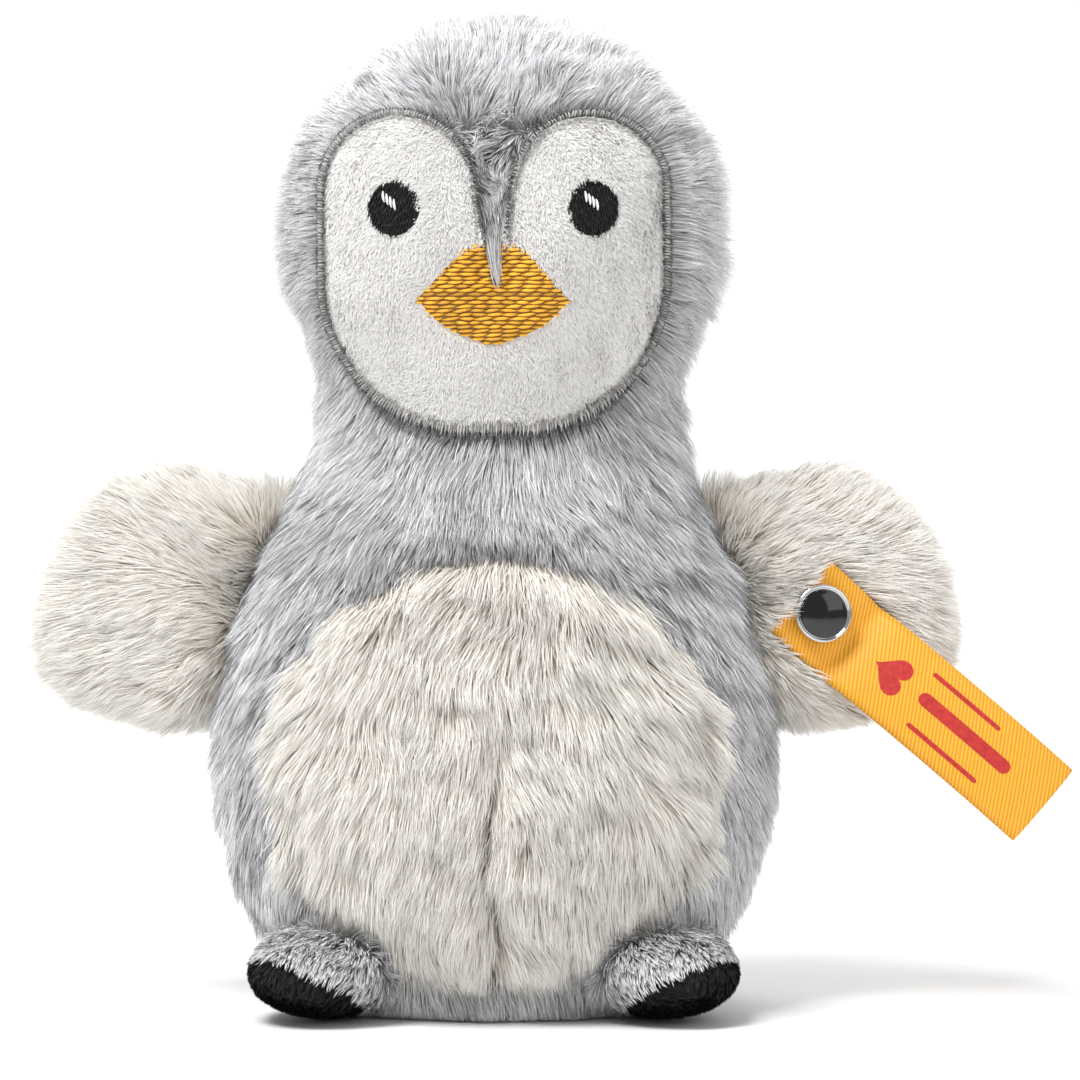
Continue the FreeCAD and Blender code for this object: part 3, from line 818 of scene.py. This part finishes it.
def stitch_paths(starts, ends, arch, steps=4, lift=0.0):
    """Arched paths between points in X and Z on the face."""
    t = np.linspace(0, 1, steps)
    flat = starts[:, None] + (ends - starts)[:, None] * t[None, :, None]
    rise = np.tile(arch * np.sin(t * math.pi), len(starts)) + lift
    places, ups = on_face(flat.reshape(-1, 2), rise)
    return places.reshape(len(starts), steps, 3), ups.reshape(len(starts), steps, 3)


def face_edging():
    """Close stitches over the edge of the face patch, longest along the chin, with dark ends outside, whose
    near-black is painted shade where the edging meets the fur.
    """
    points, outward = resampled(face_outline(), 0.34 * MM)
    random = np.random.default_rng(51)
    count = len(points)
    chin = (1 - smooth_step(71 * MM, 77 * MM, points[:, 1]))[:, None]
    slant = np.stack([outward[:, 1], -outward[:, 0]], axis=1) * random.normal(0.12, 0.10, count)[:, None] * MM
    inner = points - outward * (0.28 + 0.45 * chin) * MM * random.uniform(0.6, 1.3, (count, 1))
    outer_end = points + outward * (0.36 + 0.65 * chin) * MM * random.uniform(0.8, 1.25, (count, 1)) + slant
    paths, ups = stitch_paths(inner, outer_end, 0.25 * MM, lift=0.10 * MM)
    shade = random.integers(0, 4, count)
    light = threads("face_stitches", paths, ups, 0.125 * MM, GREY_THREAD, shade, sides=5)
    low = points + outward * (0.25 + 0.55 * chin) * MM
    far = points + outward * (0.70 + 0.85 * chin) * MM * random.uniform(0.85, 1.2, (count, 1)) + slant
    paths, ups = stitch_paths(low, far, 0.08 * MM, lift=-0.02 * MM)
    shade = random.integers(0, 3, count)
    # Real stitch ends, in a near-black that is painted shade along the patch's sunken edge.
    dark = threads("face_stitch_ends", paths, ups, 0.13 * MM, DARK_THREAD, shade, sides=5)
    return light, dark


for edging in face_edging():
    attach(edging, "head")
    if edging.name == "face_stitches":
        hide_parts("face_edging")


def row_stitches(low, high, half_width, pitch, length, slant, random):
    """Rows of stitches, like bricks, that fill a shape given by its half width at each height."""
    starts, ends = [], []
    for z in np.arange(low + pitch / 2, high, pitch):
        left, right = half_width(z)
        x = left - random.uniform(0, length)
        while x < right:
            end = x + length * random.uniform(0.8, 1.2)
            a, b = max(x, left), min(end, right)
            if b - a > 0.25 * length:
                tilt = random.normal(slant, 0.06) * (b - a)
                starts.append((a, z - tilt / 2))
                ends.append((b, z + tilt / 2))
            x = end + 0.02 * length
    return np.array(starts), np.array(ends)


EYE_HALF = (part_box("eye_left")[1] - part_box("eye_left")[0]) / 2
EYE_MIDDLE = (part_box("eye_left")[1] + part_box("eye_left")[0]) / 2
BEAK_LOW, BEAK_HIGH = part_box("beak_lower")[0].z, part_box("beak_upper")[1].z
BEAK_MOUTH, BEAK_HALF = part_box("beak_lower")[1].z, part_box("beak_upper")[1].x


def patch_dome(name, loop, height, material, rings=6):
    """A low dome on the face inside a closed outline."""
    shares = np.linspace(0.05, 1, rings)
    rise = np.repeat(height * np.sqrt(np.maximum(1 - shares**3, 0)), len(loop))
    places, _ = on_face(shrunk(loop, loop.mean(0), shares), rise)
    return disc(name, places, len(loop), material, FORWARD)


def eye(name, side):
    """A black oval of close stitches with three bright ones."""
    random = np.random.default_rng(60 + side)
    middle = np.array([side * EYE_MIDDLE.x, EYE_MIDDLE.z])
    half = np.array([EYE_HALF.x, EYE_HALF.z])
    loop = middle + arc_points((0, 0), 1.0, 0, 351, 40) * half * 0.96
    dome = patch_dome(name + "_base", loop, 0.35 * MM, black_backing)

    def columns(x):
        reach = half[1] * math.sqrt(max(0, 1 - (x / half[0]) ** 2)) * random.uniform(0.93, 1.06)
        return -reach, reach

    starts, ends = row_stitches(-half[0], half[0], columns, 0.30 * MM, 1.7 * MM, 0.05, random)
    lean = math.radians(side * 14)
    spin = np.array([[math.cos(lean), -math.sin(lean)], [math.sin(lean), math.cos(lean)]])
    starts, ends = (middle + points[:, ::-1] @ spin.T for points in (starts, ends))
    height = 0.33 * MM * np.sqrt(np.clip(1 - (((starts + ends) / 2 - middle) / half) ** 2 @ (1, 1), 0, 1))
    paths, ups = stitch_paths(starts, ends, 0.10 * MM)
    paths = paths + ups * height[:, None, None]
    shade = random.integers(0, 3, len(paths))
    stitches = threads(name + "_stitches", paths, ups, 0.17 * MM, BLACK_THREAD, shade)

    offsets = np.arange(4) - 1.5
    tops = middle + mm(-0.45, 1.45) + np.stack([offsets * 0.42, -offsets * 0.30], axis=1) * MM
    bottoms = tops + mm(0.18, -1.25)
    bright_paths, bright_ups = stitch_paths(tops, bottoms, 0.12 * MM, lift=0.55 * MM)
    glint_name = name.replace("eye", "eye_glint")
    bright = threads(glint_name, bright_paths, bright_ups, 0.17 * MM, WHITE_THREAD, np.array([0, 1, 0, 1]))
    for piece in (dome, stitches):
        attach(piece, "head")
    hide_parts("eye_" + ("left" if side > 0 else "right"))
    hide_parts("eye_glint_" + ("left" if side > 0 else "right"))
    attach(bright, "head")


eye("embroidered_eye_left", 1)
eye("embroidered_eye_right", -1)

BEAK_PROFILE = (  # Share of the height, share of the half width
    (0.0, 0.08), (0.06, 0.28), (0.13, 0.52), (0.24, 0.74), (0.45, 1.0),
    (0.55, 0.87), (0.7, 0.69), (0.85, 0.53), (0.95, 0.40), (1.0, 0.24),
)


def beak_half(z):
    """Half width of the beak at a height."""
    shares, widths = zip(*BEAK_PROFILE)
    return float(np.interp((z - BEAK_LOW) / (BEAK_HIGH - BEAK_LOW), shares, widths)) * BEAK_HALF


def beak():
    """Gold embroidery in close rows, with a darker line where the mouth is."""
    random = np.random.default_rng(71)
    heights = np.linspace(BEAK_LOW, BEAK_HIGH, 26)
    right = np.array([(beak_half(z) * 0.97, z) for z in heights])
    loop = np.concatenate([right, right[::-1] * (-1, 1)])
    # A dark brown dome under the stitches: painted shade in their gaps.
    base = patch_dome("beak_base", loop, 0.55 * MM, beak_gap_shade, rings=9)
    base_tree = tree_from(base)

    def reach(z):
        half = beak_half(z) * random.uniform(0.97, 1.03)
        return -half, half

    starts, ends = row_stitches(BEAK_LOW, BEAK_HIGH, reach, 0.47 * MM, 1.8 * MM, 0.06, random)
    t = np.linspace(0, 1, 4)
    flat = (starts[:, None] + (ends - starts)[:, None] * t[None, :, None]).reshape(-1, 2)
    places, ups = on_face(flat)
    for row, (x, z) in enumerate(flat):
        hit = base_tree.ray_cast(Vector((x, RAY_START, z)), BACKWARD)[0]
        if hit is not None:
            places[row] = hit
    places += ups * np.tile(0.02 + 0.13 * np.sin(t * math.pi), len(starts))[:, None] * MM
    paths, ups = places.reshape(-1, 4, 3), ups.reshape(-1, 4, 3)
    tone = random.integers(1, 5, len(paths))
    middle_z = (starts[:, 1] + ends[:, 1]) / 2
    at_mouth = np.abs(middle_z - BEAK_MOUTH) < 0.24 * MM
    tone[at_mouth] = 0
    paths[at_mouth] -= ups[at_mouth] * 0.12 * MM
    upper = middle_z > BEAK_MOUTH
    for name, rows in (("upper", upper), ("lower", ~upper)):
        piece = threads("beak_stitches_" + name, paths[rows], ups[rows], 0.19 * MM, GOLD, tone[rows])
        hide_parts("beak_" + name)
        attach(piece, "head")
    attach(base, "head")


beak()


NAP_LENGTH, NAP_WIDTH, NAP_PER_MM2 = 0.7 * MM, 0.11 * MM, 52


def face_nap():
    """Short dense pile all over the face patch, except under the embroidery."""
    random = np.random.default_rng(81)
    places, normals = scatter(face, NAP_PER_MM2, random)
    x, z = places[:, 0], places[:, 2]
    off_eyes = np.hypot((np.abs(x) - EYE_MIDDLE.x) / EYE_HALF.x, (z - EYE_MIDDLE.z) / EYE_HALF.z) > 1
    profile = np.array([beak_half(value) for value in z])
    keep = off_eyes & ((np.abs(x) > profile) | (z < BEAK_LOW) | (z > BEAK_HIGH))
    places, normals = places[keep], normals[keep]
    flow = tangential(np.tile(DOWN, (len(places), 1)) + 0.4 * unit(places - FACE_FRONT), normals)
    flow = turned(flow, normals, 0.9 * wobble(places, 7 * MM, 82) + 0.5 * wobble(places, 2.5 * MM, 83))
    length = np.full(len(places), NAP_LENGTH)
    curves = grow(places, normals, flow, length, 0.7, jitter=0.5, clumps=((6, 0.15),), seed=84)
    tone = tones(places, 4, 5 * MM, 85)
    for piece in coat_pieces("face_nap", curves, normals, NAP_WIDTH, tone, WHITE,
                             "face_patch", len(NAP_ROWS)):
        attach(piece, "head")


face_nap()
bpy.data.objects.remove(outer)


# ---- wings
def pole_skin(name, tree, middle, axis, material, rings=30, columns=72):
    """A closed skin read off a rounded body from outside, with its poles on an axis."""
    axis = unit(np.array(axis, float))
    first = unit(np.cross(axis, (1.0, 0.0, 0.0)))
    second = np.cross(axis, first)
    angles = np.arange(columns) * 2 * math.pi / columns
    around = np.cos(angles)[:, None] * first + np.sin(angles)[:, None] * second
    rows = []
    for lift in np.linspace(-math.pi / 2, math.pi / 2, rings + 2)[1:-1]:
        ways = around * math.cos(lift) + axis * math.sin(lift)
        rows.append(np.array([first_hit(tree, middle, way, 0.06) for way in ways]))
    return grid_skin(name, rows, columns, material)


def drawn_in(cloth, middle, depth):
    """Places of a closed skin moved in by depth, once its normals face out."""
    places, normals = coordinates(cloth), coordinates(cloth, True)
    if np.sum((places - middle) * normals) < 0:
        cloth.data.flip_normals()
        normals = -normals
    return places - normals * depth


WING_ROOT_DEPTH, FOOT_ROOT_DEPTH = 1.3 * MM, 0.7 * MM
WING_ROOT_SINK = 4.0 * MM


def wing(name, side):
    """A stuffed paddle wing's cloth, drawn in to where its hair grows from."""
    front, back = f"wing_front_{name}", f"wing_back_{name}"
    low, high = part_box(front)
    lowest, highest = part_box(back)
    middle = (np.minimum(low, lowest) + np.maximum(high, highest)) / 2
    joint = joints[f"wing_{name}_swing"]
    pivot, hinge = np.array(joint["pos_m"]), unit(np.array(joint["axis"])) * side
    outward = unit(middle - pivot - hinge * np.dot(middle - pivot, hinge))
    through = np.cross(hinge, outward)
    # The wing's dark beige cloth is painted shade at the roots of its hair.
    cloth = pole_skin(f"wing_cloth_{name}", tree_of(front, back), middle, through, cream_backing)
    relax(cloth, 3)
    places = coordinates(cloth)
    rim = np.abs((places - middle) @ through) < 0.35 * MM
    stuff(cloth, rim, cap=0.7 * MM, pressure=3.0)
    relax(cloth, 1)
    places = drawn_in(cloth, middle, WING_ROOT_DEPTH)
    reach = (places - pivot) @ outward
    set_coordinates(cloth, places - np.outer(1 - smooth_step(0, 6 * MM, reach), outward) * WING_ROOT_SINK)
    return cloth, middle, pivot, outward, hinge, through


def wing_coat(name, side):
    """Cloth and hair of one wing."""
    cloth, middle, pivot, outward, hinge, through = wing(name, side)
    random = np.random.default_rng(90 + side)
    places, normals = scatter(cloth, WING_PER_MM2, random)
    way = outward + np.outer((places - pivot) @ hinge / (17 * MM) + 0.22, hinge)
    flow = tangential(way, normals)
    flow = turned(flow, normals, 0.35 * wobble(places, 11 * MM, 91) + 0.22 * wobble(places, 4 * MM, 92))
    reach = (places - pivot) @ outward
    length = 6.6 * MM * (0.8 + 0.2 * smooth_step(0, 12 * MM, reach)) * (1 + 0.1 * wobble(places, 5 * MM, 93))
    facing_tip = np.clip(np.sum(unit(way) * normals, axis=1), 0, 1)
    lift = 0.62 + 0.12 * wobble(places, 5 * MM, 94) + 0.75 * facing_tip**2
    curves = grow(places, normals, flow, length, lift, sweep=0.2, droop=0.04, clumps=((70, 0.28), (9, 0.5)),
                  seed=95 + side)
    tone = tones(places, 4, 7 * MM, 97)
    in_front = (places - middle) @ through * np.sign(-through[1]) > 0
    seen = in_front & clear_of_tag(curves) if name == "left" else in_front
    for part, chosen in (("front", seen), ("back", ~in_front)):
        rows = np.flatnonzero(chosen)
        node = f"wing_{part}_{name}"
        for piece in coat_pieces(node + "_hair", curves[rows], normals[rows], HAIR_WIDTH, tone[rows], CREAM,
                                 node):
            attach(piece, f"wing_{name}")
    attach(cloth, f"wing_{name}")


# ---- button and ribbon
TAG_PIVOT = np.array(joints["tag_swivel"]["pos_m"])
TAG_OUT = unit(np.array(joints["tag_swivel"]["axis"]))
tape = coordinates(frame["nodes"]["tag_ribbon"])
tape_way = tape.mean(0) - TAG_PIVOT
TAG_ALONG = unit(tape_way - TAG_OUT * np.dot(tape_way, TAG_OUT))
TAG_ACROSS = np.cross(TAG_OUT, TAG_ALONG)
TAPE_REACH = ((tape - TAG_PIVOT) @ TAG_ALONG).max()
TAPE_START = ((tape - TAG_PIVOT) @ TAG_ALONG).min()
TAPE_HALF = ((tape - TAG_PIVOT) @ TAG_ACROSS).max()
near_button = np.abs((tape - TAG_PIVOT) @ TAG_ALONG) < 5 * MM
TAPE_BACK = ((tape[near_button] - TAG_PIVOT) @ TAG_OUT).min()
TAPE_LIFT = ((tape - TAG_PIVOT) @ TAG_OUT).max() - TAPE_BACK
TAPE_LEAF = 0.28 * MM
TAPE_TRIM = 1.4 * MM
CREASE = 5.2 * MM
PRINT_RINGS = 8


def tape_point(along, across, out=0.0):
    """A place on the ribbon's middle surface: it runs flat under the button, then bends out at a crease."""
    run = np.maximum(along - CREASE, 0)
    rise = TAPE_LIFT * 0.9 * (1 - np.exp(-run / (16 * MM))) / (1 - math.exp(-1.9))
    rise = rise - 0.5 * MM * np.exp(-(((along - CREASE) / (1.8 * MM)) ** 2))
    rise = rise + 0.12 * MM * np.sin(along / (4 * MM)) * (run > 0)
    dish = 0.35 * MM * (across / TAPE_HALF) ** 2 * smooth_step(0, 8 * MM, run)
    height = TAPE_BACK + 0.45 * MM + rise - dish + out
    return (TAG_PIVOT + TAG_ALONG * np.asarray(along)[..., None] + TAG_ACROSS * np.asarray(across)[..., None]
            + TAG_OUT * np.asarray(height)[..., None])


def clear_of_tag(curves):
    """Which strands miss the button, and lie under the ribbon or over it but not through it."""
    shares = np.linspace(0.1, 1, 10)[:, None]
    points = np.stack([np.stack([np.interp(shares[:, 0], ROWS, strand[:, axis]) for axis in range(3)], axis=1)
                       for strand in curves]) - TAG_PIVOT
    along, across, out = points @ TAG_ALONG, points @ TAG_ACROSS, points @ TAG_OUT
    over_tape = (along > TAPE_START - 0.2 * MM) & (along < TAPE_REACH)
    over_tape &= np.abs(across) < TAPE_HALF + 0.1 * MM
    middle = (tape_point(along, across) - TAG_PIVOT) @ TAG_OUT
    root_under = over_tape[:, 0] & (out[:, 0] < middle[:, 0])
    through = (over_tape & (np.abs(out - middle) < 0.5 * MM)).any(1)
    pokes_out = root_under & (over_tape & (out > middle)).any(1)
    on_button = ((np.hypot(along, across) < 2.7 * MM) & (out > middle)).any(1)
    return ~(through | pokes_out | on_button)


def twill():
    """Woven tape: fine diagonal ribs with a slight colour change from rib to rib."""
    material = plain("tag_twill", (0.90, 0.50, 0.04), 0.55, Sheen_Weight=0.15)
    shader, add, join, bump = nodes_of(material)
    layout = add("ShaderNodeTexCoord")
    ribs = add("ShaderNodeTexWave", Scale=1.0, Distortion=0.35, Detail=1.0)
    ribs.wave_type, ribs.bands_direction = "BANDS", "X"
    thread = add("ShaderNodeTexNoise", Scale=1400.0)
    ramp = ramp_of(add, 0.15, 0.75, (0.66, 0.25, 0.008), (0.90, 0.44, 0.020))
    slope = unit(TAG_ALONG * 0.86 + TAG_ACROSS * 0.5)
    across_ribs = add("ShaderNodeVectorMath", operation="DOT_PRODUCT")
    across_ribs.inputs[1].default_value = slope * 700
    combine = add("ShaderNodeCombineXYZ")
    join(layout.outputs["Object"], across_ribs.inputs[0])
    join(across_ribs.outputs["Value"], combine.inputs["X"])
    join(combine.outputs["Vector"], ribs.inputs["Vector"])
    join(layout.outputs["Object"], thread.inputs["Vector"])
    mixed = add("ShaderNodeMix", data_type="FLOAT")
    mixed.inputs["Factor"].default_value = 0.25
    join(ribs.outputs["Fac"], mixed.inputs["A"])
    join(thread.outputs["Fac"], mixed.inputs["B"])
    join(mixed.outputs["Result"], ramp.inputs["Fac"])
    join(ramp.outputs["Color"], shader.inputs["Base Color"])
    bump(ribs.outputs["Fac"], 0.5, 0.08 * MM)
    return material


def ribbon():
    """The folded ribbon: one tape whose two leaves lie together and whose fold is at the far end."""
    offset = TAPE_LEAF / 2 + 0.10 * MM
    length = TAPE_REACH - TAPE_START - offset - TAPE_TRIM
    out_and_back = np.linspace(0, length, 64)
    turn = np.linspace(-math.pi / 2, math.pi / 2, 9)[1:-1]
    along = np.concatenate([out_and_back, length + offset * np.cos(turn), out_and_back[::-1]]) + TAPE_START
    height = np.concatenate([np.full(64, -offset), offset * np.sin(turn), np.full(64, offset)])
    facing = unit(np.stack([np.gradient(height), -np.gradient(along)], axis=1))
    across = np.linspace(-1, 1, 13) * TAPE_HALF
    thin = TAPE_LEAF / 2 * (1 - 0.5 * (np.abs(across) > TAPE_HALF * 0.99))
    layers = []
    for way in (1, -1):
        layer_along = along[:, None] + facing[:, :1] * thin * way
        layer_height = height[:, None] + facing[:, 1:] * thin * way
        layers.append(tape_point(layer_along, np.broadcast_to(across, layer_along.shape), layer_height))
    rows, cols = layers[0].shape[:2]
    index = np.arange(rows * cols).reshape(rows, cols)
    cloth = np.stack([index[:-1, :-1], index[1:, :-1], index[1:, 1:], index[:-1, 1:]], axis=-1).reshape(-1, 4)
    border = np.concatenate([index[:, 0], index[-1, 1:], index[-2::-1, -1], index[0, -2:0:-1]])
    nxt = np.roll(border, -1)
    walls = np.stack([nxt, border, border + rows * cols, nxt + rows * cols], axis=1)
    faces = np.concatenate([cloth, cloth[:, ::-1] + rows * cols, walls])
    places = np.concatenate([layer.reshape(-1, 3) for layer in layers])
    piece = add_mesh("ribbon_tape", places, [faces], [twill()])
    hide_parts("tag_ribbon")
    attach(piece, "tag")


def motif():
    """The print: a plain heart and plain bars, in red ink on the ribbon's front."""
    ink = woven("red_ink", (0.40, 0.012, 0.012), (0.55, 0.03, 0.022), 1800, 0.6)
    t = np.linspace(0, 2 * math.pi, 48, endpoint=False)
    heart_x = 16 * np.sin(t) ** 3
    heart_y = 13 * np.cos(t) - 5 * np.cos(2 * t) - 2 * np.cos(3 * t) - np.cos(4 * t)
    shapes = {"heart": np.stack([10.9 * MM + heart_y * 0.15 * MM, heart_x * 0.15 * MM], axis=1)}
    bars = ((15.6, 27.5, 0.2, 0.85), (14.6, 24.2, 3.3, 0.28), (16.0, 26.0, -3.4, 0.28))
    for number, (start, end, across, half) in enumerate(bars):
        far = arc_points((end * MM, across * MM), half * MM, -90, 90, 9)
        near = arc_points((start * MM, across * MM), half * MM, 90, 270, 9)
        shapes[f"bar_{number}"] = np.concatenate([far, near])
    for name, outline in shapes.items():
        loop = resampled(outline, 0.35 * MM)[0]
        flat = shrunk(loop, loop.mean(0), np.linspace(0.05, 1, PRINT_RINGS))
        places = tape_point(flat[:, 0], flat[:, 1], TAPE_LEAF + 0.13 * MM)
        piece = disc("print_" + name, places, len(loop), ink, TAG_OUT)
        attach(piece, "tag")


def polished_metal(name, level):
    """Polished nickel with faint hairline scratches."""
    material = plain(name, (level, level, level * 1.02), 0.1, Metallic=1.0)
    _, add, join, bump = nodes_of(material)
    scratches = add("ShaderNodeTexNoise", Scale=2500.0, Detail=6.0)
    join(add("ShaderNodeTexCoord").outputs["Object"], scratches.inputs["Vector"])
    bump(scratches.outputs["Fac"], 0.05, 0.02 * MM)
    return material


BUTTON_COLUMNS = 72
BUTTON_PROFILE = (  # Share of the radius, share of the height: back, rolled rim, groove, dome
    (0.30, 0.05), (0.97, 0.05), (1.0, 0.22), (1.0, 0.42), (0.985, 0.60), (0.95, 0.68), (0.90, 0.66),
    (0.87, 0.56), (0.84, 0.50), (0.78, 0.56), (0.62, 0.72), (0.42, 0.84), (0.2, 0.9), (0.05, 0.92),
)


def button():
    """The domed cap with its rolled rim, turned about the rivet."""
    cap = coordinates(frame["nodes"]["button_cap"]) - TAG_PIVOT
    out = cap @ TAG_OUT
    low, high = out.min(), out.max()
    radius = np.linalg.norm(cap - out[:, None] * TAG_OUT, axis=1).max()
    turns = np.arange(BUTTON_COLUMNS) * 2 * math.pi / BUTTON_COLUMNS
    ring = np.cos(turns)[:, None] * TAG_ALONG + np.sin(turns)[:, None] * TAG_ACROSS
    rows = [TAG_PIVOT + ring * share * radius + TAG_OUT * (low + height * (high - low) * 1.15)
            for share, height in BUTTON_PROFILE]
    metal = polished_metal("bright_nickel", 0.62)
    piece = grid_skin("button_dome", rows, BUTTON_COLUMNS, metal)
    # The dome's face inside the rim is near-black metal: a painted dark reflection, against the bright nickel
    # rim.
    piece.data.materials.append(polished_metal("nickel_painted_reflection", 0.055))
    spots = face_centres(piece) - TAG_PIVOT
    from_axis = np.linalg.norm(np.cross(TAG_OUT, spots), axis=1)
    inner = (from_axis < 0.84 * radius) & (spots @ TAG_OUT > (low + high) / 2)
    piece.data.polygons.foreach_set("material_index", inner.astype(np.int32))
    refine = piece.modifiers.new("round", "SUBSURF")
    refine.levels = refine.render_levels = 1
    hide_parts("button_cap")
    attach(piece, "wing_left")
    for node in ("button_rivet", "button_washer"):
        dress(node, metal)


def dress(node, material):
    """Gives a CAD node that stays its material."""
    mesh = frame["nodes"][node].data
    mesh.materials.clear()
    mesh.materials.append(material)


wing_coat("left", 1)
wing_coat("right", -1)
ribbon()
motif()
button()


# ---- feet
SOLE_RISE = 1.0 * MM


def foot(name, side):
    """Grey lobe over a black crescent sole."""
    top, sole, filling = (f"foot_{part}_{name}" for part in ("top", "sole", "filling"))
    low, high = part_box(sole)
    low_top, high_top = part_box(top)
    middle = np.array((np.minimum(low, low_top) + np.maximum(high, high_top)) / 2)
    middle[1] = low.y + 11 * MM
    tree = tree_of(top, sole, filling)
    # The foot's dark grey cloth is painted shade under its hair.
    cloth = pole_skin(f"foot_cloth_{name}", tree, middle, (0, 0, 1), grey_backing, 24, 64)
    relax(cloth, 2)
    places = drawn_in(cloth, middle, FOOT_ROOT_DEPTH)
    places[:, 2] = np.maximum(places[:, 2], 0.1 * MM)
    set_coordinates(cloth, places)

    random = np.random.default_rng(110 + side)
    places, normals = scatter(cloth, FOOT_PER_MM2, random)
    sole_tree = tree_of(sole)
    to_sole, to_top = distances(sole_tree, places), distances(tree_of(top), places)
    black = to_sole < np.maximum(to_top, SOLE_RISE)
    nearest = [skin_tree.find_nearest(Vector(place)) for place in places]
    free = np.array([(Vector(place) - hit[0]).dot(hit[1]) > -1.0 * MM for place, hit in zip(places, nearest)])
    for part, chosen, length, materials, lift, shade_rows in (
        ("sole", black, np.full(len(places), 1.0 * MM), BLACK, 0.8, 2),
        ("top", ~black, (1.6 + 2.6 * smooth_step(2 * MM, 8 * MM, to_sole)) * MM, GREY, 0.6, 3),
    ):
        rows = np.flatnonzero(chosen & free)
        way = np.tile(np.array([0.25 * side, -0.7, -0.5]), (len(rows), 1))
        flow = tangential(way, normals[rows])
        flow = turned(flow, normals[rows], 0.3 * wobble(places[rows], 6 * MM, 111))
        curves = grow(places[rows], normals[rows], flow, length[rows], lift, clumps=((9, 0.45),),
                      seed=112 + side)
        tone = tones(places[rows], len(materials) // shade_rows, 5 * MM, 113, 0.25)
        node = f"foot_{part}_{name}"
        for piece in coat_pieces(node + "_hair", curves, normals[rows], 0.13 * MM, tone, materials, node,
                                 shade_rows):
            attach(piece, "torso")
    near_sole = distances(sole_tree, face_centres(cloth)) < SOLE_RISE
    cloth.data.materials.append(black_backing)
    cloth.data.polygons.foreach_set("material_index", near_sole.astype(np.int32))
    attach(cloth, "torso")


foot("left", 1)
foot("right", -1)

for node in ("torso_filling", "neck_filling", "head_filling", "foot_filling_left", "foot_filling_right",
             "wing_filling_left", "wing_filling_right"):
    dress(node, filling_fibre)
dress("closing_stitches", woven("closing_thread", (0.30, 0.30, 0.31), (0.44, 0.44, 0.45), 1500, 0.6))


# ---- floor, light and camera
CAMERA_TARGET = mm(5.4, 0, 55.6)
CAMERA_ELEVATION = math.radians(2.5)
CAMERA_DISTANCE = 0.708
CAMERA_LENS, CAMERA_SENSOR = 197, 36
WORLD_LIGHT = 0.42
LAMPS_TARGET = mm(0, 0, 60)
LAMPS = (  # Name, place, width, watts
    ("key", (-0.38, -0.40, 1.00), 0.5, 13.5),
    ("fill", (0.7, -0.5, 0.5), 0.6, 1.5),
    ("rim", (0.1, 0.40, 0.8), 0.6, 3.0),
)


def aimed(name, data, place, target):
    """A lamp or camera at a place, turned towards a target."""
    item = bpy.data.objects.new(name, data)
    bpy.context.scene.collection.objects.link(item)
    item.location = place
    item.rotation_euler = (target - place).to_track_quat("-Z", "Y").to_euler()
    return item


def studio():
    """A pale floor that sweeps up behind, soft light from above left, and the camera."""
    bend = np.radians(np.linspace(0, 90, 24))
    curve = [(0.6 + 0.5 * math.sin(a), 0.5 - 0.5 * math.cos(a)) for a in bend]
    profile = [(-6.0, 0.0), (0.5, 0.0), *curve, (1.1, 2.0)]
    places = np.array([(x, y, z) for x in (-6.0, 6.0) for y, z in profile])
    count = len(profile)
    row = np.arange(count - 1)
    faces = np.stack([row, row + count, row + count + 1, row + 1], axis=1)
    floor = add_mesh("floor", places, [faces], [plain("floor_paint", (0.93, 0.93, 0.93), 0.7)])
    world = bpy.data.worlds.new("studio")
    bpy.context.scene.world = world
    world.use_nodes = True
    world.node_tree.nodes["Background"].inputs["Color"].default_value = (1, 1, 1, 1)
    world.node_tree.nodes["Background"].inputs["Strength"].default_value = WORLD_LIGHT
    for name, place, size, power in LAMPS:
        light = bpy.data.lights.new(name, "AREA")
        light.size, light.energy = size, power
        aimed(name, light, Vector(place), Vector(LAMPS_TARGET))
    bpy.context.scene.view_settings.view_transform = "Standard"
    lens = bpy.data.cameras.new("camera")
    lens.lens, lens.sensor_width, lens.clip_start = CAMERA_LENS, CAMERA_SENSOR, 0.01
    target = Vector(CAMERA_TARGET)
    way = Vector((0, -math.cos(CAMERA_ELEVATION), math.sin(CAMERA_ELEVATION)))
    bpy.context.scene.camera = aimed("camera", lens, target + way * CAMERA_DISTANCE, target)


studio()
